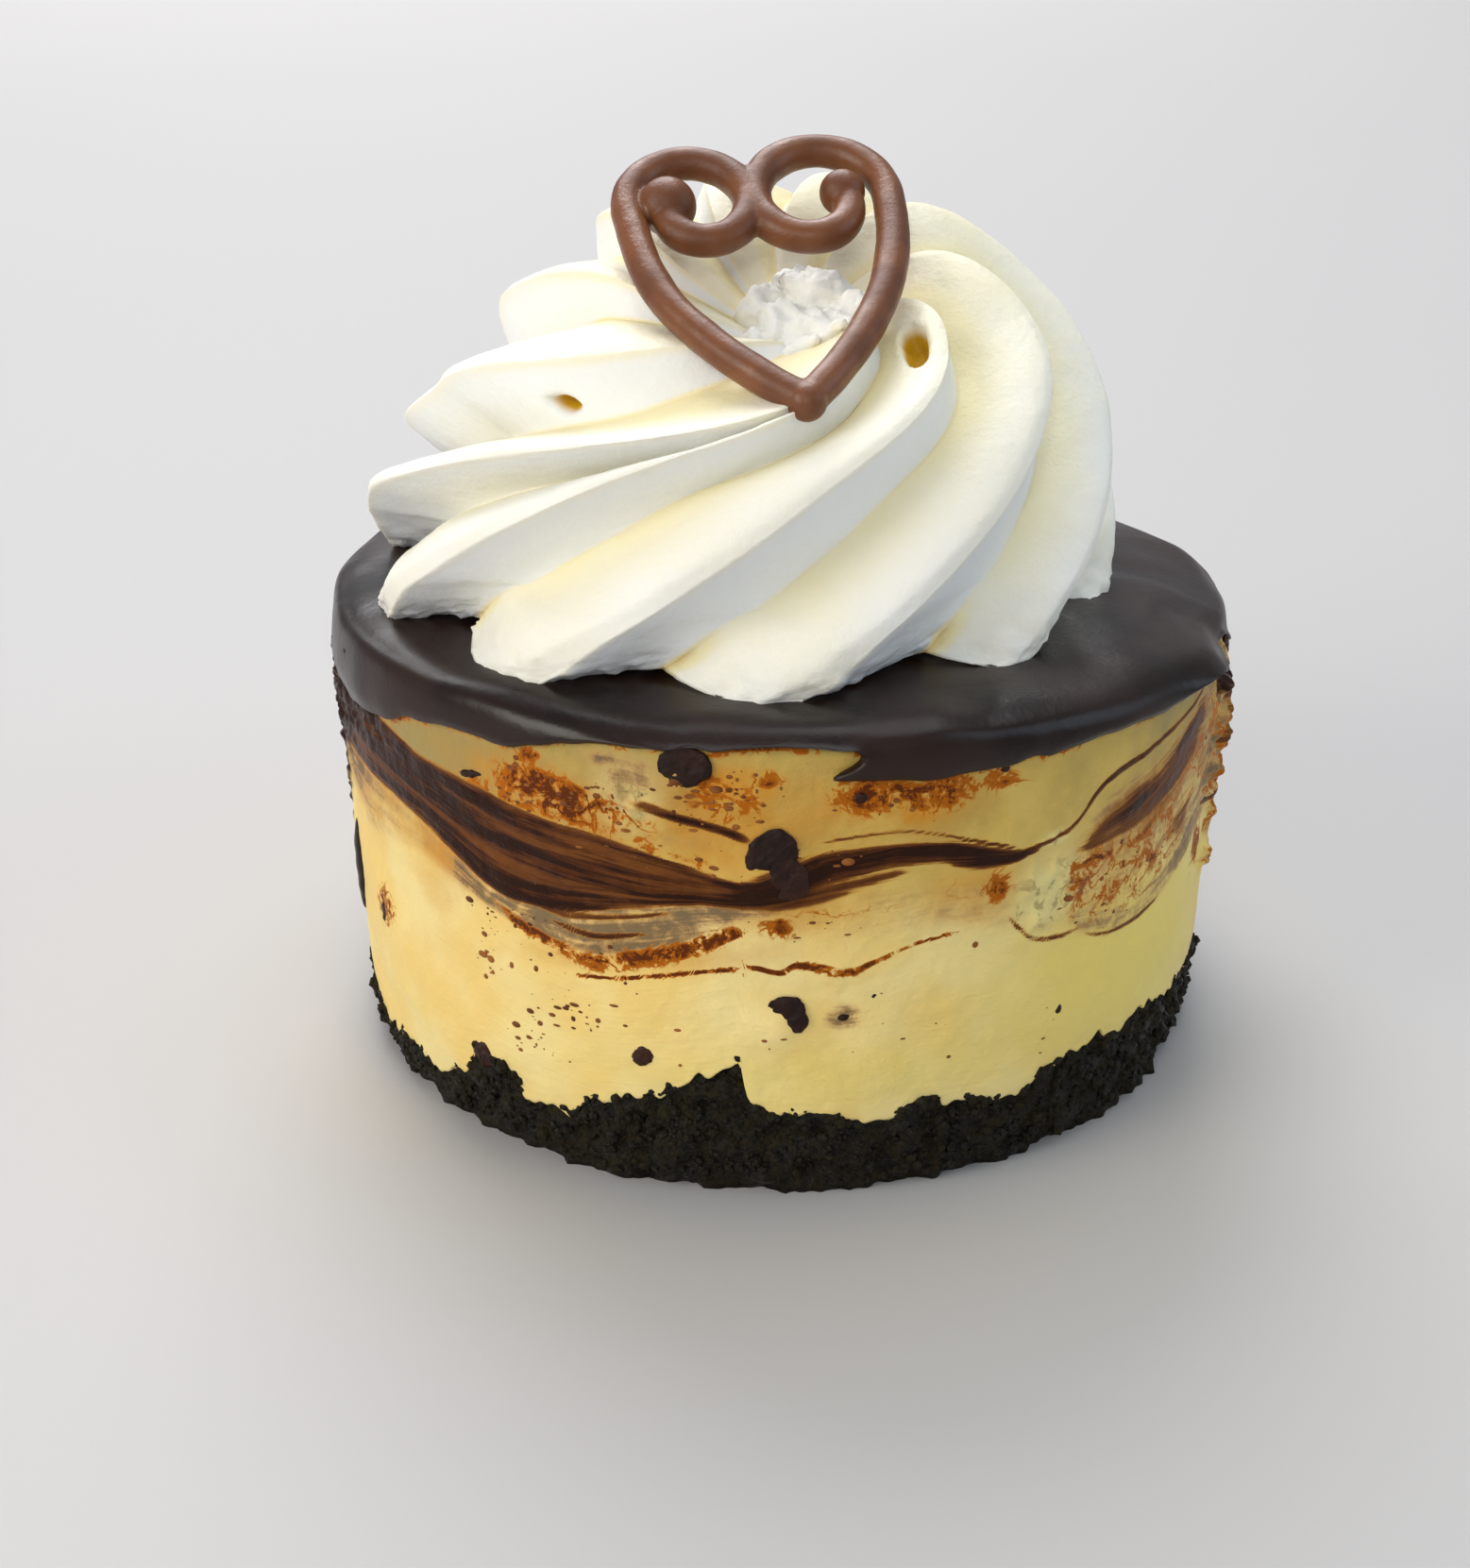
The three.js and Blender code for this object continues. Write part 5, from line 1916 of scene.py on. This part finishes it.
    def build(self) -> Object:
        """The mound's mesh, then its grooves and grain from a geometry tree."""
        phases = self.phases()
        column = (np.arange(self.lobes)[:, None] + phases[None, :]).reshape(-1)
        t = np.linspace(0.0, self.last, self.rows)
        column, t = np.meshgrid(column, t)
        points, stored = self.mound(column, t)
        base = self.form.glaze_top(0.0, 0.0) + self.form.gap
        lifted = smooth(t, 0.0, 0.1)
        points[..., 2] += mix(self.ground(points) - self.sunk, base, lifted)
        middle = np.array([*self.axis, 0.0])
        under = middle + (points[0] - middle) * np.array([0.45, 0.45, 1.0])
        under[..., 2] = self.ground(under) - self.sunk
        rings = np.concatenate([under[None], points])
        under_pole = middle + [0, 0, float(self.ground(middle)) - self.sunk]
        over = np.array([*self.swirl_end, base + self.height[-1]])
        mesh = ring_mesh(self.name, rings, under_pole, over)
        for title, values in stored.items():
            edge = np.concatenate([values[:1], values])
            if title == "groove":
                edge[0] = 0.0
            paint(mesh, title, edge * (MM if title == "groove" else 1.0))
        paint(mesh, "climb", np.concatenate([t[:1] * 0 - 1.0, t]))
        return self.piped(new_object(self.name, mesh))

    def piped(self, made: Object) -> Object:
        """Cuts the grooves, roughens the foot and adds the grain of the cream.

        Args:
            made: The plain mound, with what it stores.

        Returns:
            The piped mound.
        """
        tree = GeometryTree(
            "PipedRidges",
            {
                "Hollow": 1.35,
                "Wall Hollow": 1.45,
                "Strand Depth": 0.09 * MM,
                "Wobble": 0.55 * MM,
                "Grain Depth": 0.10 * MM,
                "Foot Raggedness": 2.5 * MM,
                "Material": self.finish.material(),
            },
        )
        wire, given = tree.wire, tree.given
        phase = wire.stored("phase")
        climb = wire.math("SUBTRACT", 1.0, wire.math("DIVIDE", phase, wire.stored("valley")))
        climb = wire.math("MAXIMUM", climb, 0.0)
        hollow = wire.math("POWER", climb, given["Hollow"])
        # Beyond the edge a hollow wall falls to the next groove.
        wide = wire.math("SUBTRACT", 1.0, wire.stored("crest"))
        left = wire.math("DIVIDE", wire.math("SUBTRACT", 1.0, phase), wide)
        left = wire.math("MINIMUM", left, 1.0)
        wall = wire.math("SUBTRACT", 1.0, wire.math("POWER", left, given["Wall Hollow"]))
        depth = wire.times(wire.math("MAXIMUM", hollow, wall), wire.stored("groove"))
        cut = wire.lengthened(wire.stored("inward", "FLOAT_VECTOR"), depth)
        grooved = wire.out("GeometryNodeSetPosition", {"Geometry": given["Geometry"], "Offset": cut})
        # Wobble of the whole ridge, long strands along it and a fine grain.
        place = wire.out("GeometryNodeInputPosition")
        strand = wire.stored("strand", "FLOAT_VECTOR")
        wobble = self.centred(wire, wire.noise(place, 120.0, 2.0), given["Wobble"])
        strands = wire.noise(wire.scaled(strand, (4.0, 3.0, 1.0)), 1.0, 3.0, 0.6)
        strands = self.centred(wire, strands, given["Strand Depth"])
        fine = self.centred(wire, wire.noise(place, 900.0, 3.0, 0.6), given["Grain Depth"])
        low = wire.span(wire.stored("climb"), 0.09, 0.0)
        ragged = self.centred(wire, wire.noise(place, 430.0, 4.0, 0.65), given["Foot Raggedness"])
        ragged = wire.times(ragged, low)
        push = wire.math("ADD", wire.math("ADD", wobble, strands), wire.math("ADD", fine, ragged))
        push = wire.times(push, wire.span(wire.stored("climb"), -0.002, 0.004))
        pitted, push = self.pitted(wire, place, push)
        offset = wire.lengthened(wire.out("GeometryNodeInputNormal"), push)
        marks = {"Geometry": grooved, "Name": "pitted", "Value": pitted}
        marked = wire.out("GeometryNodeStoreNamedAttribute", marks)
        rough = wire.out("GeometryNodeSetPosition", {"Geometry": marked, "Offset": offset})
        tree.close(rough, given["Material"])
        return tree.run(made)

    def pitted(self, wire: Wiring, place: Socket, push: Socket) -> tuple[Socket, Socket]:
        """Sinks the pits in the cream.

        Args:
            wire: The tree.
            place: Where each point is.
            push: How far it is to move along its normal.

        Returns:
            How deep in a pit each place is, from 0 to 1, and the push less the pits.
        """
        shown = 0.0
        uneven = self.centred(wire, wire.noise(place, 420.0, 2.0), 0.8)
        for middle, radii, depth in self.pits:
            centre = [x * MM for x in middle]
            apart = wire.out("ShaderNodeVectorMath", {0: place, 1: centre}, operation="SUBTRACT")
            apart = wire.scaled(apart, [1.0 / (r * MM) for r in radii])
            away = wire.node("ShaderNodeVectorMath", {0: apart}, operation="LENGTH").outputs["Value"]
            here = wire.span(wire.math("ADD", away, uneven), 1.0, 0.6)
            push = wire.math("SUBTRACT", push, wire.times(here, depth * MM))
            shown = wire.math("MAXIMUM", shown, here)
        return shown, push

    @staticmethod
    def centred(wire: Wiring, value: Any, depth: Any) -> Socket:
        """Noise brought to both sides of zero and scaled to a depth."""
        return wire.times(wire.math("SUBTRACT", value, 0.5), depth)


@dataclass
class TornCream(Piece):
    """Soft lumps of cream where the nozzle was lifted off."""

    name = "cream_torn_end"
    slot = Slot.CREAM
    finish = torn_cream_finish()
    # Middle and radius of each lump in millimetres.
    lumps: tuple = (
        (0.5, -12.0, 61.6, 3.2), (4.0, -13.4, 62.6, 2.7), (6.2, -11.0, 63.6, 2.2),
        (2.8, -8.6, 64.6, 2.8), (-1.8, -9.2, 63.4, 2.3), (6.8, -15.4, 61.8, 1.8),
        (4.4, -17.2, 61.2, 1.9), (1.2, -16.0, 61.2, 2.1), (-2.6, -13.8, 61.6, 1.9),
        (0.6, -6.4, 65.4, 1.8), (-3.4, -18.6, 60.8, 1.4), (1.8, -19.8, 60.6, 1.3),
    )
    voxel: float = 0.28

    def build(self) -> Object:
        """Balls melted into one lumpy skin."""
        rng = np.random.default_rng(4)
        balls = []
        for x, y, z, r in self.lumps:
            axes = np.diag(r * rng.uniform(0.8, 1.2, 3))
            balls.append((np.array([x, y, z]), axes))
            for _ in range(5):
                way = rng.normal(size=3)
                way = way / np.linalg.norm(way)
                small = r * rng.uniform(0.22, 0.4)
                balls.append((np.array([x, y, z]) + way * r * 0.95, np.eye(3) * small))
        made = new_object(self.name, lump_mesh(self.name, balls, 3))
        made = melted(made, self.voxel, 4)
        displace(made.data, 0.6, 1.3, 51, 3)
        return made


@dataclass
class ChocolateScroll(Piece):
    """The piped heart scroll that leans on the cream."""

    name = "chocolate_scroll_piped"
    slot = Slot.CHOCOLATE
    finish = ChocolateFinish()
    stands_for = ("chocolate_scroll",)
    rod: float = 2.7
    length: float = 30.5
    width: float = 20.0
    tip: Triple = (1.2, -27.2, 61.6)
    rise: float = 27.5
    lean: float = 9.0
    lobe_stretch: float = 1.2
    curl_start: float = -12.0
    curl_turn: float = 390.0
    curl_steps: int = 15
    voxel: float = 0.17
    # Side, size of the lobe and radius of the end blob in rods.
    halves: tuple = ((-1, 0.96, 0.86), (1, 1.04, 0.68))
    # The heart's side as shares of its width and length.
    side: tuple = ((0.0, 0.0), (0.15, 0.11), (0.31, 0.26), (0.44, 0.44))

    def half(self, side: int, size: float) -> list[tuple[float, float]]:
        """One half of the heart in its own plane.

        Args:
            side: -1 on the left, 1 on the right.
            size: Size of its lobe, where 1 is usual.

        Returns:
            Points from the heart's point to the end of the curl.
        """
        points = [(x * self.width, y * self.length) for x, y in self.side]
        lobe = 0.25 * self.width * size
        middle = (0.25 * self.width + 0.25, self.length - self.lobe_stretch * lobe - self.rod / 2)
        for k in range(self.curl_steps + 1):
            turn = math.radians(self.curl_start + self.curl_turn * k / self.curl_steps)
            r = lobe * mix(1.02, 0.36, float(smooth(k / self.curl_steps, 0.42, 1.0)))
            across, up = r * math.cos(turn), self.lobe_stretch * r * math.sin(turn)
            points.append((middle[0] + across, middle[1] + up))
        return [(side * x, y) for x, y in points]

    def in_plane(self, x: float, y: float) -> Vector:
        """Where a point of the heart's plane is on the cake.

        Args:
            x: Its place to the right of the heart's point, in millimetres.
            y: Its place above it, in millimetres.

        Returns:
            The point in the cake's frame, in millimetres.
        """
        rise = math.radians(self.rise)
        up = Vector((0.0, math.cos(rise), math.sin(rise)))
        normal = Vector((1.0, 0.0, 0.0)).cross(up)
        up = Matrix.Rotation(math.radians(self.lean), 3, normal) @ up
        right = up.cross(normal)
        return Vector(self.tip) + right * x + up * y

    def build(self) -> Object:
        """Two piped rods with an uneven thickness, melted together with their blobs."""
        curve = bpy.data.curves.new(self.name, "CURVE")
        curve.dimensions = "3D"
        curve.resolution_u = 8
        for side, size, _ in self.halves:
            points = [self.in_plane(x, y) * MM for x, y in self.half(side, size)]
            piped = curve.splines.new("BEZIER")
            piped.bezier_points.add(len(points) - 1)
            for knot, point in zip(piped.bezier_points, points):
                knot.co = point
                knot.handle_left_type = knot.handle_right_type = "AUTO"
        rods = self.rods().run(new_object(self.name, curve))
        blobs = []
        for side, size, blob in self.halves:
            end = np.array(self.in_plane(*self.half(side, size)[-1]))
            blobs.append((end, np.eye(3) * blob * self.rod))
        blobs.append((np.array(self.in_plane(0.0, 0.0)), np.eye(3) * 0.55 * self.rod))
        ends = new_object("scroll_ends", lump_mesh("scroll_ends", blobs, 4))
        return self.joined(rods, ends)

    def rods(self) -> GeometryTree:
        """Builds the tree that lays a rod of uneven thickness along the piped curves.

        Returns:
            The tree.
        """
        tree = GeometryTree(
            "PipedRod",
            {
                "Radius": 0.5 * self.rod * MM,
                "Unevenness": 0.22,
                "Step": 0.3 * MM,
                "Material": self.finish.material(),
            },
        )
        wire, given = tree.wire, tree.given
        steps = {"Curve": given["Geometry"], "Length": given["Step"]}
        even = wire.out("GeometryNodeResampleCurve", steps, mode="LENGTH")
        place = wire.out("GeometryNodeInputPosition")
        uneven = wire.math("SUBTRACT", wire.noise(place, 210.0, 2.0), 0.5)
        factor = wire.math("ADD", 1.0, wire.times(uneven, given["Unevenness"]))
        radius = wire.times(given["Radius"], factor)
        sized = wire.out("GeometryNodeSetCurveRadius", {"Curve": even, "Radius": radius})
        section = wire.out("GeometryNodeCurvePrimitiveCircle", {"Resolution": 20, "Radius": 1.0})
        inputs = {"Curve": sized, "Profile Curve": section, "Fill Caps": True}
        rod = wire.node("GeometryNodeCurveToMesh", inputs)
        if "Scale" in rod.inputs:
            wire.feed(rod.inputs["Scale"], wire.out("GeometryNodeInputRadius"))
        tree.close(rod.outputs[0], given["Material"])
        return tree

    def joined(self, rods: Object, ends: Object) -> Object:
        """Joins the rods and their ends into one skin.

        Args:
            rods: The two rods, which are used up.
            ends: The blobs at their ends, which are used up.

        Returns:
            The whole scroll.
        """
        both = bmesh.new()
        both.from_mesh(rods.data)
        both.from_mesh(ends.data)
        mesh = bpy.data.meshes.new(self.name)
        both.to_mesh(mesh)
        both.free()
        bpy.data.objects.remove(rods)
        bpy.data.objects.remove(ends)
        return melted(new_object(self.name, mesh), self.voxel, 8)


# ---- studio
def aim(made: Object, place: Sequence[float], target: Sequence[float]) -> None:
    """Stands a lamp or a camera in its place.

    Args:
        made: The lamp or the camera.
        place: Where it stands, in metres.
        target: What it looks at, in metres.
    """
    made.location = place
    made.rotation_mode = "QUATERNION"
    made.rotation_quaternion = (Vector(target) - Vector(place)).to_track_quat("-Z", "Y")


@dataclass
class Lamp:
    """A round soft box: where it stands, what it looks at, its size, power and colour."""

    name: str
    place: Triple
    target: Triple
    size: float
    power: float
    colour: Colour

    def light(self) -> None:
        """Adds the lamp to the scene."""
        data = bpy.data.lights.new(self.name, "AREA")
        data.shape = "DISK"
        data.size = self.size
        data.energy = self.power
        data.color = self.colour
        aim(new_object(self.name, data), self.place, self.target)


CAKE_MIDDLE = (0.0, 0.0, 0.035)
LAMPS = (
    Lamp("key", (-0.54, -0.32, 0.34), CAKE_MIDDLE, 0.42, 2.4, (1.0, 0.96, 0.88)),
    Lamp("overhead", (0.05, 0.30, 1.10), (0.0, 0.10, 0.0), 1.0, 5.0, (0.95, 0.97, 1.0)),
    Lamp("backdrop", (-0.35, 1.60, 1.40), (-0.25, 1.30, 0.0), 1.6, 40.0, (0.98, 0.98, 1.0)),
    Lamp("front", (-0.10, -0.75, 0.40), CAKE_MIDDLE, 0.55, 0.9, (1.0, 0.98, 0.93)),
    Lamp("spark", (-0.06, -0.42, 0.26), CAKE_MIDDLE, 0.02, 0.12, (1.0, 1.0, 1.0)),
    Lamp("window", (0.60, -0.10, 0.35), CAKE_MIDDLE, 0.50, 0.8, (0.62, 0.82, 1.0)),
)


@dataclass
class Studio:
    """Floor, light and camera."""

    frame_height: float = 1661.0  # of the photograph, in pixels
    focal_pixels: float = 2391.0
    camera_place: Triple = (-4.04, -187.9, 103.4)
    camera_target: Triple = (-4.04, 0.0, 19.0)
    sensor: float = 36.0
    floor_radius: float = 4000.0
    floor_sides: int = 96
    sky: Colour = (0.88, 0.93, 1.0)
    sky_strength: float = 0.34

    def floor(self) -> None:
        """A flat round floor."""
        sides = self.floor_sides
        i = np.arange(sides)
        rim = polar(i * 360.0 / sides, self.floor_radius, 0.0)
        points = np.concatenate([rim, np.zeros((1, 3))])
        faces = np.stack([i, (i + 1) % sides, np.full(sides, sides)], -1)
        made = new_object("studio_floor", mesh_of("studio_floor", points, [faces]))
        wear(made, FloorFinish())

    def sky_light(self) -> None:
        """An even pale sky."""
        world = bpy.data.worlds.new("studio")
        world.use_nodes = True
        world.node_tree.nodes.clear()
        wire = Wiring(world.node_tree)
        sky = wire.out("ShaderNodeBackground", {"Color": self.sky, "Strength": self.sky_strength})
        wire.node("ShaderNodeOutputWorld", {0: sky})
        bpy.context.scene.world = world

    def camera(self) -> None:
        """The camera at the photograph's viewing angle."""
        data = bpy.data.cameras.new("camera")
        data.sensor_fit = "AUTO"
        data.sensor_width = self.sensor
        data.lens = self.sensor * self.focal_pixels / self.frame_height
        data.clip_start = 0.01
        data.clip_end = 20.0
        made = new_object("camera", data)
        aim(made, Vector(self.camera_place) * MM, Vector(self.camera_target) * MM)
        bpy.context.scene.camera = made

    def set_up(self) -> None:
        """Puts everything in place."""
        self.camera()
        self.floor()
        self.sky_light()
        for lamp in LAMPS:
            lamp.light()
        bpy.context.scene.view_settings.view_transform = "Standard"


def main() -> None:
    """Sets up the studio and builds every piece."""
    logging.basicConfig(level=logging.INFO, format="%(message)s")
    Studio().set_up()
    base = CrumbBase().place()
    Crumbs(host=base).place()
    filling = MarbledFilling().place()
    CocoaSpecks(host=filling).place()
    ChocolateChips().place()
    Glaze().place()
    GlazeDrip().place()
    CreamRosette().place()
    TornCream().place()
    ChocolateScroll().place()


if __name__ == "__main__":
    main()
